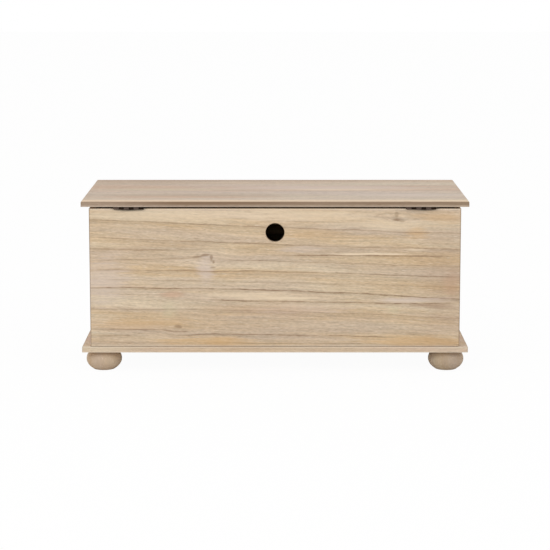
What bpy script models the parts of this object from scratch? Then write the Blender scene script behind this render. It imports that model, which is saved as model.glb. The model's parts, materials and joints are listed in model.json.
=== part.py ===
"""A storage chest of flat boards on turned bun feet, with a lid on butt hinges and two slotted stays.

Sizes are in metres, +Z is up and the origin is on the floor under the middle of the lid. X runs
along the chest. The hinged back, with its round hole, faces -Y, and the front faces +Y.
"""

import math

import bmesh
import bpy
from mathutils import Vector

# Clearances
SEAT = 0.0003
RUNNING_GAP = 0.0004
CUT_PAST = 0.004
WELD = 0.000001

# Boards
BODY_LENGTH = 0.956
BODY_DEPTH = 0.420
PANEL_HEIGHT = 0.361
PANEL_THICKNESS = 0.015
LID_THICKNESS = 0.015
LID_ROUND = 0.004
LID_SIDE_OVERHANG = 0.020
LID_FRONT_OVERHANG = 0.022
LID_BACK_OVERHANG = 0.008
BASE_THICKNESS = 0.015
BASE_SIDE_OVERHANG = 0.022
BASE_FRONT_OVERHANG = 0.022
BASE_BACK_OVERHANG = 0.004
LID_GAP = 0.0052
ARRIS = 0.0009

# Round hole in the back panel
HOLE_DIAMETER = 0.049
HOLE_DROP = 0.0625
HOLE_CHAMFER = 0.0012

# Glue blocks in the corners, and cleats under the lid
BLOCK_LEG = 0.018
BLOCK_SETBACK = 0.014
CLEAT_INSET = 0.178
CLEAT_WIDTH = 0.045
CLEAT_THICKNESS = 0.012
CLEAT_END_ROOM = 0.020

# Bun feet, hanger bolts and tee nuts
FOOT_HEIGHT = 0.052
FOOT_DIAMETER = 0.0925
FOOT_BELLY = 0.025
FOOT_ROUNDNESS = 0.0375
FOOT_EASE = 0.0015
NUT_ROOM = 0.0155
BOLT_DIAMETER = 0.008
BOLT_CHAMFER = 0.001
BOLT_IN_FOOT = 0.032
NUT_BARREL_DIAMETER = 0.010
NUT_FLANGE_DIAMETER = 0.020
NUT_FLANGE = 0.0015
NUT_LENGTH = 0.011

# Butt hinges
HINGE_INSET = 0.103
HINGE_WIDTH = 0.076
HINGE_LEAF = 0.0185
LEAF_THICKNESS = 0.0016
KNUCKLE_RADIUS = 0.0035
KNUCKLES = 6
ROLL_SWEEP = 295.0
PIN_HEAD_RADIUS = 0.0029
PIN_HEAD = 0.0009

# Countersunk screws
SCREW_HEAD_RADIUS = 0.0033
SCREW_RADIUS = 0.0017
SCREW_LENGTH = 0.013
SCREW_POINT = 0.004
HINGE_SCREW_SPACING = 0.0253

# Slotted lid stays
LID_OPENING = 95.0
STAY_RADIUS = 0.150
PIVOT_ANGLE = 5.0
STUD_ANGLE = 35.0
STAY_STEEL = 0.002
STAY_PANEL_ROOM = 0.001
ARM_WIDTH = 0.016
STUD_RADIUS = 0.003
STUD_SHOULDER_RADIUS = 0.0045
STUD_HEAD_RADIUS = 0.0060
STUD_HEAD = 0.0015
RIVET_RADIUS = 0.0025
RIVET_HEAD_RADIUS = 0.0045
RIVET_HEAD = 0.0012
STUD_PLATE_WIDTH = 0.018
STUD_PLATE_SCREW_SPACING = 0.036
BRACKET_WIDTH = 0.030
BRACKET_REACH = 0.026
BRACKET_BEND = 0.0012
EAR_RADIUS = 0.0085
BRACKET_SCREW_SPACING = 0.017

# Bumpers on the front panel
BUMPER_INSET = 0.078
BUMPER_DIAMETER = 0.011

# Low heads: the flat share of the radius, and the share of the height that is upright rim
BUMPER_FLAT = 0.8
BUMPER_RIM = 0.6
PIN_HEAD_FLAT = 0.6
PIN_HEAD_RIM = 0.4
RIVET_HEAD_FLAT = 0.7
RIVET_HEAD_RIM = 0.5

# Facets of round pieces, the angle from which a corner stays sharp, and an axis mark's size
SHARP_FROM = 35.0
FOOT_FACETS = 32
FOOT_RINGS = 11
HOLE_FACETS = 32
ROUND_FACETS = 5
SMALL_FACETS = 12
ROLL_FACETS = 14
BEND_FACETS = 4
AXIS_MARK = 0.03

# Heights, from the floor up
foot_top = FOOT_HEIGHT
base_bottom = foot_top + SEAT
base_top = base_bottom + BASE_THICKNESS
panel_bottom = base_top + SEAT
panel_top = panel_bottom + PANEL_HEIGHT
lid_bottom = panel_top + LID_GAP
lid_top = lid_bottom + LID_THICKNESS

# Places along X and Y
body_end = BODY_LENGTH / 2
side_inner = body_end - PANEL_THICKNESS
lid_back = -(BODY_DEPTH + LID_FRONT_OVERHANG + LID_BACK_OVERHANG) / 2
back_face = lid_back + LID_BACK_OVERHANG
front_face = back_face + BODY_DEPTH
lid_front = front_face + LID_FRONT_OVERHANG
back_inner = back_face + PANEL_THICKNESS
front_inner = front_face - PANEL_THICKNESS
base_back = back_face - BASE_BACK_OVERHANG
base_front = front_face + BASE_FRONT_OVERHANG

# The hinge axis is behind the back panel, and its knuckles touch the lid
axis_y = back_face - SEAT - KNUCKLE_RADIUS
axis_z = lid_bottom - SEAT - KNUCKLE_RADIUS
bore_radius = KNUCKLE_RADIUS - LEAF_THICKNESS
pin_radius = bore_radius - SEAT

# Each foot stands just inside the corner that its tee nut has to clear
foot_x = side_inner - NUT_ROOM
foot_front_y = front_inner - NUT_ROOM
foot_back_y = base_back + (base_front - foot_front_y)
nut_top = base_top + SEAT + NUT_FLANGE

# A stay's layers, as distances in from the side panel
stud_plate_face = SEAT + STAY_STEEL
ear_near = STAY_PANEL_ROOM + RIVET_HEAD + SEAT
ear_far = ear_near + STAY_STEEL
arm_near = ear_far + RUNNING_GAP
arm_far = arm_near + STAY_STEEL
rivet_half_grip = (arm_far + RUNNING_GAP - ear_near + SEAT) / 2


def polar(radius, degrees):
    """The point at this distance from the hinge axis and this angle above level, seen from the side."""
    turn = math.radians(degrees)
    return axis_y + radius * math.cos(turn), axis_z + radius * math.sin(turn)


def stay_reach(lid_angle):
    """Distance from the arm's rivet to the stud. Both keep the same distance from the hinge axis."""
    return 2 * STAY_RADIUS * math.sin(math.radians(lid_angle + STUD_ANGLE - PIVOT_ANGLE) / 2)


# The equal radii make the arm turn at exactly half the lid's rate
pivot_y, pivot_z = polar(STAY_RADIUS, -PIVOT_ANGLE)
stud_y, stud_z = polar(STAY_RADIUS, -STUD_ANGLE)
arm_tilt = -(PIVOT_ANGLE + STUD_ANGLE) / 2

# Turns that lay a piece's own axes along the chest's
UPRIGHT = (0.0, 0.0, 0.0)
UPSIDE_DOWN = (math.pi, 0.0, 0.0)
SIDE_SECTION = (math.pi / 2, 0.0, math.pi / 2)
END_SECTION = (math.pi / 2, 0.0, 0.0)
ALONG_CHEST = (0.0, math.pi / 2, 0.0)

SIDES = {"left": -1, "right": 1}


def linear(channel):
    return channel / 12.92 if channel <= 0.04045 else ((channel + 0.055) / 1.055) ** 2.4


def finish(name, colour, roughness, metallic=0.0):
    """A plain finish from an sRGB hex colour."""
    channels = [linear(int(colour[i : i + 2], 16) / 255) for i in (1, 3, 5)]
    material = bpy.data.materials.new(name)
    material.use_nodes = True
    shader = material.node_tree.nodes["Principled BSDF"]
    shader.inputs["Base Color"].default_value = (*channels, 1.0)
    shader.inputs["Roughness"].default_value = roughness
    shader.inputs["Metallic"].default_value = metallic
    material.diffuse_color = (*channels, 1.0)
    return material


def clear_scene():
    for obj in list(bpy.data.objects):
        bpy.data.objects.remove(obj, do_unlink=True)


def new_collection(name):
    collection = bpy.data.collections.new(name)
    bpy.context.scene.collection.children.link(collection)
    return collection


clear_scene()
chest = new_collection("storage_chest")
cutters = new_collection("cutters")

washed_wood = finish("washed_wood", "#CDB699", 0.72)
bronzed_steel = finish("bronzed_steel", "#4A3C30", 0.45, 0.85)
zinc_steel = finish("zinc_steel", "#A9A9A6", 0.40, 0.90)
black_rubber = finish("black_rubber", "#242322", 0.80)


def place_of(empty):
    """The place of a joint's empty. What it stands on is never turned."""
    return empty.location + (place_of(empty.parent) if empty.parent else Vector())


def add_object(name, mesh, surface, at, turn=UPRIGHT, carrier=None):
    obj = bpy.data.objects.new(name, mesh)
    chest.objects.link(obj)
    obj.data.materials.append(surface)
    obj.location = at
    obj.rotation_euler = turn
    if carrier:
        obj.parent = carrier
        obj.location = Vector(at) - place_of(carrier)
    return obj


def add_axis(name, at, carrier=None):
    """An empty on a joint's axis, which carries the pieces that move with it."""
    empty = bpy.data.objects.new(name, None)
    empty.empty_display_size = AXIS_MARK
    chest.objects.link(empty)
    empty.location = at
    if carrier:
        empty.parent = carrier
        empty.location = Vector(at) - place_of(carrier)
    return empty


def arc(centre, radius, start, stop, facets):
    """Points on an arc, both ends included, with its angles in degrees."""
    turns = [math.radians(start + (stop - start) * i / facets) for i in range(facets + 1)]
    return [(centre[0] + radius * math.cos(t), centre[1] + radius * math.sin(t)) for t in turns]


def stadium(near, far, radius):
    """A round-ended outline that runs down from near to far along a vertical line."""
    top = arc((0.0, near), radius, 0, 180, SMALL_FACETS)
    return top + arc((0.0, far), radius, 180, 360, SMALL_FACETS)


def circle(radius):
    return arc((0.0, 0.0), radius, 0, 360 - 360 / SMALL_FACETS, SMALL_FACETS - 1)


def box(name, low, high, surface, carrier=None):
    """A square-edged box between two corners."""
    shape = bmesh.new()
    bmesh.ops.create_cube(shape, size=1.0)
    bmesh.ops.scale(shape, vec=Vector(high) - Vector(low), verts=shape.verts)
    mesh = bpy.data.meshes.new(name)
    shape.to_mesh(mesh)
    shape.free()
    return add_object(name, mesh, surface, (Vector(low) + Vector(high)) / 2, carrier=carrier)


def round_upper_edges(obj, radius):
    """Rounds the four edges of a board's upper face."""
    verts = obj.data.vertices
    top = max(vert.co.z for vert in verts)
    weights = obj.data.attributes.new("bevel_weight_edge", "FLOAT", "EDGE")
    for edge, weight in zip(obj.data.edges, weights.data):
        weight.value = float(all(verts[i].co.z == top for i in edge.vertices))
    rounding = obj.modifiers.new("rounded_upper_edges", "BEVEL")
    rounding.width = radius
    rounding.segments = ROUND_FACETS
    rounding.limit_method = "WEIGHT"


def board(name, low, high, carrier=None, upper_round=0.0):
    """A wooden board between two corners: sharp edges eased, upper ones rounded where that is asked."""
    obj = box(name, low, high, washed_wood, carrier)
    if upper_round:
        round_upper_edges(obj, upper_round)
    easing = obj.modifiers.new("eased_edges", "BEVEL")
    easing.width = ARRIS
    easing.segments = 2
    easing.limit_method = "ANGLE"
    return obj


def as_solid(source, name, surface, at, turn, carrier):
    """The finished mesh of a profile or outline, welded shut and shaded smooth up to its corners."""
    graph = bpy.context.evaluated_depsgraph_get()
    mesh = bpy.data.meshes.new_from_object(source.evaluated_get(graph))
    mesh.name = name
    bpy.data.objects.remove(source)
    shape = bmesh.new()
    shape.from_mesh(mesh)
    bmesh.ops.remove_doubles(shape, verts=shape.verts, dist=WELD)
    bmesh.ops.recalc_face_normals(shape, faces=shape.faces)
    shape.to_mesh(mesh)
    shape.free()
    mesh.shade_smooth()
    mesh.set_sharp_from_angle(angle=math.radians(SHARP_FROM))
    return add_object(name, mesh, surface, at, turn, carrier)


def turned(name, outline, surface, at, facets, turn=UPRIGHT, carrier=None, ring=False):
    """A piece turned from half its outline, which runs down its outer side. A ring's is closed."""
    edges = [(i, i + 1) for i in range(len(outline) - 1)]
    if ring:
        edges.append((len(outline) - 1, 0))
    profile = bpy.data.meshes.new(name + "_profile")
    profile.from_pydata([(radius, 0.0, height) for radius, height in outline], edges, [])
    source = bpy.data.objects.new(profile.name, profile)
    chest.objects.link(source)
    turning = source.modifiers.new("turning", "SCREW")
    turning.steps = facets
    turning.render_steps = facets
    turning.use_merge_vertices = True
    turning.merge_threshold = WELD
    return as_solid(source, name, surface, at, turn, carrier)


def plate(name, loops, thickness, surface, at, turn=UPRIGHT, carrier=None):
    """A flat piece: closed outlines, the first of them outside, given a thickness to both sides."""
    curve = bpy.data.curves.new(name + "_outline", "CURVE")
    curve.dimensions = "2D"
    curve.fill_mode = "BOTH"
    curve.extrude = thickness / 2
    for loop in loops:
        spline = curve.splines.new("POLY")
        spline.points.add(len(loop) - 1)
        for point, (x, y) in zip(spline.points, loop):
            point.co = (x, y, 0.0, 1.0)
        spline.use_cyclic_u = True
    source = bpy.data.objects.new(curve.name, curve)
    chest.objects.link(source)
    return as_solid(source, name, surface, at, turn, carrier)


def make_tool(obj):
    """Takes an object out of the chest, to cut or shape its pieces."""
    chest.objects.unlink(obj)
    cutters.objects.link(obj)
    obj.hide_render = True
    obj.display_type = "WIRE"
    return obj


def combine(piece, tool, operation):
    boolean = piece.modifiers.new(tool.name, "BOOLEAN")
    boolean.operation = operation
    boolean.object = tool


def cut(tool, *pieces):
    """Cuts a tool's shape from each of the pieces."""
    make_tool(tool)
    for piece in pieces:
        combine(piece, tool, "DIFFERENCE")


def join(piece, tool):
    make_tool(tool)
    combine(piece, tool, "UNION")


def low_head(radius, height, flat, rim):
    """Half a low head, from its middle out and down to where its upright rim starts."""
    return [(0.0, height), (flat * radius, height), (radius, rim * height)]


def screw_outline(grow=0.0):
    """Half the outline of a countersunk screw, or of its hole where it is grown by a clearance."""
    cone = SCREW_HEAD_RADIUS - SCREW_RADIUS
    head = SCREW_HEAD_RADIUS + grow
    shank = SCREW_RADIUS + grow
    top = [(0.0, CUT_PAST), (head, CUT_PAST)] if grow else [(0.0, 0.0)]
    point = [(shank, SCREW_POINT - SCREW_LENGTH), (0.0, -SCREW_LENGTH - grow)]
    return [*top, (head, 0.0), (shank, -cone), *point]


def screw(name, at, turn, surface, pieces, carrier=None):
    """A countersunk screw with the top of its head at this point, and its hole in these pieces."""
    hole = turned(name + "_hole", screw_outline(SEAT), surface, at, SMALL_FACETS, turn, carrier)
    cut(hole, *pieces)
    turned(name, screw_outline(), surface, at, SMALL_FACETS, turn, carrier)


def make_body():
    """The base board and the four panels. The back and front panels cover the side panels' ends."""
    base = board(
        "base_board",
        (-body_end - BASE_SIDE_OVERHANG, base_back, base_bottom),
        (body_end + BASE_SIDE_OVERHANG, base_front, base_top),
    )
    back = board(
        "back_panel", (-body_end, back_face, panel_bottom), (body_end, back_inner, panel_top)
    )
    board("front_panel", (-body_end, front_inner, panel_bottom), (body_end, front_face, panel_top))
    side_panels = {}
    for side, sign in SIDES.items():
        inner, outer = sorted((sign * side_inner, sign * body_end))
        side_panels[side] = board(
            f"side_panel_{side}",
            (inner, back_inner + SEAT, panel_bottom),
            (outer, front_inner - SEAT, panel_top),
        )
    return base, back, side_panels


def drill_back_hole(back):
    """The round hole near the top of the back panel, with both its rims chamfered."""
    radius = HOLE_DIAMETER / 2
    half = PANEL_THICKNESS / 2
    flare = radius + HOLE_CHAMFER + CUT_PAST
    outline = [(0.0, half + CUT_PAST), (flare, half + CUT_PAST), (radius, half - HOLE_CHAMFER)]
    outline += [(radius, HOLE_CHAMFER - half), (flare, -half - CUT_PAST), (0.0, -half - CUT_PAST)]
    at = (0.0, back_face + half, panel_top - HOLE_DROP)
    cut(turned("back_hole", outline, washed_wood, at, HOLE_FACETS, END_SECTION), back)


def make_corner_blocks():
    """Three-cornered glue blocks, which stand just above the tee nuts' flanges."""
    bottom = nut_top + SEAT
    top = panel_top - BLOCK_SETBACK
    for side, sign in SIDES.items():
        x = sign * (side_inner - SEAT)
        for end, y, inwards in (
            ("back", back_inner + SEAT, 1),
            ("front", front_inner - SEAT, -1),
        ):
            corner = [(0.0, 0.0), (-sign * BLOCK_LEG, 0.0), (0.0, inwards * BLOCK_LEG)]
            middle = (x, y, (bottom + top) / 2)
            plate(f"corner_block_{end}_{side}", [corner], top - bottom, washed_wood, middle)


def foot_outline():
    """A flattened ball, cut flat above and below, with its lower edge eased."""
    belly = FOOT_DIAMETER / 2
    outline = [(0.0, FOOT_HEIGHT)]
    for ring in range(FOOT_RINGS + 1):
        height = FOOT_HEIGHT + (FOOT_EASE - FOOT_HEIGHT) * ring / FOOT_RINGS
        rise = (height - FOOT_BELLY) / FOOT_ROUNDNESS
        outline.append((belly * math.sqrt(1 - rise * rise), height))
    sole = outline[-1][0] - 2 * FOOT_EASE
    return [*outline, (sole, 0.0), (0.0, 0.0)]


def bolt_outline(grow=0.0):
    """Half a hanger bolt, from its machine end down to its wood screw point."""
    radius = BOLT_DIAMETER / 2 + grow
    top = nut_top + (CUT_PAST if grow else 0.0)
    point = foot_top - BOLT_IN_FOOT
    outline = [(0.0, top), (radius - BOLT_CHAMFER, top), (radius, top - BOLT_CHAMFER)]
    return [*outline, (radius, point + BOLT_DIAMETER), (0.0, point - grow)]


def nut_outline():
    """Half a tee nut: a flanged barrel round the bolt."""
    inner = BOLT_DIAMETER / 2 + SEAT
    barrel = NUT_BARREL_DIAMETER / 2
    flange = NUT_FLANGE_DIAMETER / 2
    under = nut_top - NUT_FLANGE
    outline = [(inner, nut_top), (flange, nut_top), (flange, under)]
    return [*outline, (barrel, under), (barrel, nut_top - NUT_LENGTH), (inner, nut_top - NUT_LENGTH)]


def make_feet(base):
    """Four bun feet, each on a hanger bolt that screws up into a tee nut in the base board."""
    barrel = NUT_BARREL_DIAMETER / 2 + SEAT
    bore = [(0.0, base_top + CUT_PAST), (barrel, base_top + CUT_PAST)]
    bore += [(barrel, base_bottom - CUT_PAST), (0.0, base_bottom - CUT_PAST)]
    for side, sign in SIDES.items():
        for end, y in (("back", foot_back_y), ("front", foot_front_y)):
            where = f"{end}_{side}"
            at = (sign * foot_x, y, 0.0)
            foot = turned(f"foot_{where}", foot_outline(), washed_wood, at, FOOT_FACETS)
            bolt_hole = turned(
                f"foot_bolt_{where}_hole", bolt_outline(SEAT), zinc_steel, at, SMALL_FACETS
            )
            cut(bolt_hole, foot)
            cut(turned(f"tee_nut_{where}_hole", bore, zinc_steel, at, SMALL_FACETS), base)
            turned(f"foot_bolt_{where}", bolt_outline(), zinc_steel, at, SMALL_FACETS)
            turned(f"tee_nut_{where}", nut_outline(), zinc_steel, at, SMALL_FACETS, ring=True)


def make_bumpers():
    """Low discs that hold the lid level at the front, where no hinge leaf holds it up."""
    radius = BUMPER_DIAMETER / 2
    height = LID_GAP - 2 * SEAT
    outline = [*low_head(radius, height, BUMPER_FLAT, BUMPER_RIM), (radius, 0.0), (0.0, 0.0)]
    y = front_face - PANEL_THICKNESS / 2
    for side, sign in SIDES.items():
        at = (sign * (body_end - BUMPER_INSET), y, panel_top + SEAT)
        turned(f"lid_bumper_{side}", outline, black_rubber, at, SMALL_FACETS)


def make_lid(lid_axis):
    """The lid board, round-edged above, and the two cleats that keep it flat."""
    lid = board(
        "lid_board",
        (-body_end - LID_SIDE_OVERHANG, lid_back, lid_bottom),
        (body_end + LID_SIDE_OVERHANG, lid_front, lid_top),
        lid_axis,
        LID_ROUND,
    )
    for side, sign in SIDES.items():
        middle = sign * (body_end - CLEAT_INSET)
        top = lid_bottom - SEAT
        board(
            f"lid_cleat_{side}",
            (middle - CLEAT_WIDTH / 2, back_inner + CLEAT_END_ROOM, top - CLEAT_THICKNESS),
            (middle + CLEAT_WIDTH / 2, front_inner - CLEAT_END_ROOM, top),
            lid_axis,
        )
    return lid


def leaf_outline(side):
    """Section of a leaf: a plate that runs over the pin (side 1) or under it (-1) into a roll."""
    start = -90.0
    stop = start - ROLL_SWEEP
    outside = arc((0.0, 0.0), KNUCKLE_RADIUS, start, stop, ROLL_FACETS)
    inside = arc((0.0, 0.0), bore_radius, stop, start, ROLL_FACETS)
    section = [(HINGE_LEAF, -KNUCKLE_RADIUS), *outside, *inside, (HINGE_LEAF, -bore_radius)]
    return [(y, -side * z) for y, z in section]


def make_leaf(name, x, side, first_gap, carrier):
    """A hinge leaf rolled round the pin, with every second knuckle cut away for the other leaf."""
    at = (x, axis_y, axis_z)
    leaf = plate(name, [leaf_outline(side)], HINGE_WIDTH, bronzed_steel, at, SIDE_SECTION, carrier)
    knuckle = HINGE_WIDTH / KNUCKLES
    room = KNUCKLE_RADIUS + RUNNING_GAP
    for gap in range(first_gap, KNUCKLES, 2):
        low = x - HINGE_WIDTH / 2 + gap * knuckle - RUNNING_GAP / 2
        high = low + knuckle + RUNNING_GAP
        if gap == 0:
            low -= CUT_PAST
        if gap == KNUCKLES - 1:
            high += CUT_PAST
        notch = box(
            f"{name}_notch_{gap}",
            (low, axis_y - room - CUT_PAST, axis_z - room - CUT_PAST),
            (high, axis_y + room, axis_z + room + CUT_PAST),
            bronzed_steel,
            carrier,
        )
        cut(notch, leaf)
    return leaf


def pin_outline():
    """Half a hinge pin with a button head outside each end of the knuckles."""
    half = HINGE_WIDTH / 2 + SEAT
    button = low_head(PIN_HEAD_RADIUS, PIN_HEAD, PIN_HEAD_FLAT, PIN_HEAD_RIM)
    upper = [(r, half + h) for r, h in button] + [(PIN_HEAD_RADIUS, half), (pin_radius, half)]
    return upper + [(r, -z) for r, z in reversed(upper)]


def make_hinges(back, lid, lid_axis):
    """Two butt hinges: one leaf let into the back panel's top edge, the other under the lid."""
    screw_y = back_face + PANEL_THICKNESS / 2
    for side, sign in SIDES.items():
        x = sign * (body_end - HINGE_INSET)
        body_leaf = make_leaf(f"hinge_body_leaf_{side}", x, -1, 1, None)
        lid_leaf = make_leaf(f"hinge_lid_leaf_{side}", x, 1, 0, lid_axis)
        half = HINGE_WIDTH / 2 + SEAT
        mortise = box(
            f"hinge_mortise_{side}",
            (x - half, back_face - CUT_PAST, axis_z - KNUCKLE_RADIUS - SEAT),
            (x + half, back_inner + CUT_PAST, panel_top + CUT_PAST),
            washed_wood,
        )
        cut(mortise, back)
        at = (x, axis_y, axis_z)
        turned(f"hinge_pin_{side}", pin_outline(), bronzed_steel, at, SMALL_FACETS, ALONG_CHEST)
        for number in (1, 2, 3):
            screw_x = x + (number - 2) * HINGE_SCREW_SPACING
            body_at = (screw_x, screw_y, axis_z - bore_radius)
            body_name = f"hinge_body_screw_{side}_{number}"
            screw(body_name, body_at, UPRIGHT, bronzed_steel, (body_leaf, back))
            lid_at = (screw_x, screw_y, axis_z + bore_radius)
            lid_name = f"hinge_lid_screw_{side}_{number}"
            screw(lid_name, lid_at, UPSIDE_DOWN, bronzed_steel, (lid_leaf, lid), lid_axis)


def stud_outline():
    """Half a stay's stud, from its head down to its foot inside the plate."""
    top = arm_far + RUNNING_GAP - stud_plate_face
    shoulder = arm_near - RUNNING_GAP - stud_plate_face
    outline = [(0.0, top + STUD_HEAD), (STUD_HEAD_RADIUS, top + STUD_HEAD), (STUD_HEAD_RADIUS, top)]
    outline += [(STUD_RADIUS, top), (STUD_RADIUS, shoulder), (STUD_SHOULDER_RADIUS, shoulder)]
    return [*outline, (STUD_SHOULDER_RADIUS, -STAY_STEEL / 2), (0.0, -STAY_STEEL / 2)]


def make_stud_plate(side, sign, side_panel):
    """The plate on a side panel, with the shouldered stud that the slotted arm slides on."""
    inwards = (0.0, -sign * math.pi / 2, 0.0)
    half = STUD_PLATE_SCREW_SPACING / 2
    outline = stadium(half, -half, STUD_PLATE_WIDTH / 2)
    at = (sign * (side_inner - SEAT - STAY_STEEL / 2), stud_y, stud_z)
    body = plate(f"stay_plate_{side}", [outline], STAY_STEEL, zinc_steel, at, SIDE_SECTION)
    face_x = sign * (side_inner - stud_plate_face)
    stud_at = (face_x, stud_y, stud_z)
    join(body, turned(f"stay_stud_{side}", stud_outline(), zinc_steel, stud_at, SMALL_FACETS, inwards))
    for level, z in (("upper", stud_z + half), ("lower", stud_z - half)):
        name = f"stay_plate_screw_{side}_{level}"
        screw(name, (face_x, stud_y, z), inwards, zinc_steel, (body, side_panel))


def make_bracket(side, sign, lid, lid_axis):
    """A bent bracket under the lid, whose rounded ear holds the arm's rivet."""
    top = lid_bottom - SEAT
    bottom = pivot_z - EAR_RADIUS
    bend = (sign * (side_inner - ear_near - STAY_STEEL - BRACKET_BEND), top - STAY_STEEL - BRACKET_BEND)
    start = 0 if sign > 0 else 180
    inside = arc(bend, BRACKET_BEND, start, 90, BEND_FACETS)
    outside = arc(bend, BRACKET_BEND + STAY_STEEL, 90, start, BEND_FACETS)
    reach = sign * (side_inner - ear_near - BRACKET_REACH)
    ear_low = bottom - CUT_PAST
    section = [(inside[0][0], ear_low), *inside, (reach, top - STAY_STEEL), (reach, top)]
    section += [*outside, (outside[-1][0], ear_low)]
    strip = [(x, z - pivot_z) for x, z in section]
    at = (0.0, pivot_y, pivot_z)
    bracket = plate(
        f"stay_bracket_{side}", [strip], BRACKET_WIDTH, zinc_steel, at, END_SECTION, lid_axis
    )
    shoulder = top - STAY_STEEL - BRACKET_BEND - pivot_z
    half = BRACKET_WIDTH / 2 + CUT_PAST
    above = top - pivot_z + CUT_PAST
    blank = arc((0.0, 0.0), EAR_RADIUS, 180, 360, SMALL_FACETS)
    blank += [(half, shoulder), (half, above), (-half, above), (-half, shoulder)]
    blank_at = (sign * (side_inner - BRACKET_REACH / 2), pivot_y, pivot_z)
    form = plate(
        f"stay_ear_form_{side}",
        [blank],
        2 * BRACKET_REACH,
        zinc_steel,
        blank_at,
        SIDE_SECTION,
        lid_axis,
    )
    make_tool(form)
    combine(bracket, form, "INTERSECT")
    screw_x = sign * (side_inner - ear_near - BRACKET_REACH / 2 - STAY_STEEL)
    for end, step in (("back", -0.5), ("front", 0.5)):
        screw_at = (screw_x, pivot_y + step * BRACKET_SCREW_SPACING, top - STAY_STEEL)
        name = f"stay_bracket_screw_{side}_{end}"
        screw(name, screw_at, UPSIDE_DOWN, zinc_steel, (bracket, lid), lid_axis)
    return bracket


def rivet_outline():
    """Half a rivet with a low head on the ear's side and on the arm's side."""
    button = low_head(RIVET_HEAD_RADIUS, RIVET_HEAD, RIVET_HEAD_FLAT, RIVET_HEAD_RIM)
    upper = [(r, rivet_half_grip + h) for r, h in button]
    upper += [(RIVET_HEAD_RADIUS, rivet_half_grip), (RIVET_RADIUS, rivet_half_grip)]
    return upper + [(r, -z) for r, z in reversed(upper)]


def make_arm(side, sign, bracket, lid_axis):
    """The slotted arm on its rivet. The end of its slot meets the stud when the lid is fully open."""
    arm_axis = add_axis(f"stay_arm_axis_{side}", (sign * side_inner, pivot_y, pivot_z), lid_axis)
    arm_axis.rotation_euler = (math.radians(arm_tilt), 0.0, 0.0)
    slot = STUD_RADIUS + RUNNING_GAP
    far = stay_reach(LID_OPENING)
    near = stay_reach(0.0)
    loops = [stadium(0.0, -far, ARM_WIDTH / 2), stadium(-near, -far, slot), circle(RIVET_RADIUS + SEAT)]
    arm_x = sign * (side_inner - (arm_near + arm_far) / 2)
    arm_at = (arm_x, pivot_y, pivot_z)
    plate(f"stay_arm_{side}", loops, STAY_STEEL, zinc_steel, arm_at, SIDE_SECTION, arm_axis)
    rivet_x = sign * (side_inner - (ear_near - SEAT + arm_far + RUNNING_GAP) / 2)
    at = (rivet_x, pivot_y, pivot_z)
    past = rivet_half_grip + CUT_PAST
    rivet_hole = [(0.0, past), (RIVET_RADIUS + SEAT, past)]
    rivet_hole += [(RIVET_RADIUS + SEAT, -past), (0.0, -past)]
    name = f"stay_rivet_{side}"
    hole = turned(name + "_hole", rivet_hole, zinc_steel, at, SMALL_FACETS, ALONG_CHEST, lid_axis)
    cut(hole, bracket)
    turned(name, rivet_outline(), zinc_steel, at, SMALL_FACETS, ALONG_CHEST, lid_axis)


def make_chest():
    base, back, side_panels = make_body()
    drill_back_hole(back)
    make_corner_blocks()
    make_feet(base)
    make_bumpers()
    lid_axis = add_axis("lid_axis", (0.0, axis_y, axis_z))
    lid = make_lid(lid_axis)
    make_hinges(back, lid, lid_axis)
    for side, sign in SIDES.items():
        make_stud_plate(side, sign, side_panels[side])
        bracket = make_bracket(side, sign, lid, lid_axis)
        make_arm(side, sign, bracket, lid_axis)


make_chest()
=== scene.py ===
"""The looks of a pale washed-wood storage chest on bun feet, seen from its hinged back.

Sizes are in metres and +Z is up. X runs along the chest, the hinged back faces -Y and the front +Y.
Every piece takes its place from the solids of the frame.
"""

import json
import math

import bmesh
import bpy
from mathutils import Euler, Matrix, Vector


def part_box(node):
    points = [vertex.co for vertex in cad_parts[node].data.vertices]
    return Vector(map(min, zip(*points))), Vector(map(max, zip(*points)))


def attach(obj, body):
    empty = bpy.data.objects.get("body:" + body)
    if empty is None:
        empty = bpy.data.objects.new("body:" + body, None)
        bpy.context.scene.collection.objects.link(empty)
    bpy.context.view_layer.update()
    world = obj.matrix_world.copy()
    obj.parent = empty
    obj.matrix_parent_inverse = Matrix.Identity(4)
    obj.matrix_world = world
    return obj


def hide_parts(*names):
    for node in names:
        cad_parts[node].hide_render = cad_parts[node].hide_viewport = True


bl_info = {
    "name": "Washed Wood Storage Chest",
    "version": (1, 0, 0),
    "blender": (4, 5, 0),
    "location": "3D View > Sidebar > Chest",
    "description": "Finishes a storage chest: washed boards, turned feet, hinges, screws and stays",
    "category": "Object",
}

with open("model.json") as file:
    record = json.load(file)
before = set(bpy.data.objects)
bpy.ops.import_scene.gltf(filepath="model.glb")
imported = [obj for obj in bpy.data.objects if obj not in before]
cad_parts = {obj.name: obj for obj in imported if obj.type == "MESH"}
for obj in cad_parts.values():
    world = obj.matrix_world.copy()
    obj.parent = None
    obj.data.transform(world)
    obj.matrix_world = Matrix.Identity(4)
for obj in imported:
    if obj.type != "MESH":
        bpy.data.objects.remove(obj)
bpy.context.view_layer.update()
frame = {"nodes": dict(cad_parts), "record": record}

SIDES = ("left", "right")
ENDS = ("back", "front")
CORNERS = [(end, side) for end in ENDS for side in SIDES]
AXES = {"X": Vector((1, 0, 0)), "Y": Vector((0, 1, 0)), "Z": Vector((0, 0, 1))}
MILLIMETRE = 0.001
WELD = 0.00001
WHITE = (1, 1, 1, 1)

# Node kinds that recur
VECTOR = "ShaderNodeVectorMath"
SPLIT = "ShaderNodeSeparateXYZ"
JOIN = "ShaderNodeCombineXYZ"
NOISE = "ShaderNodeTexNoise"
RANGE = "ShaderNodeMapRange"
MIX = "ShaderNodeMix"

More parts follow.
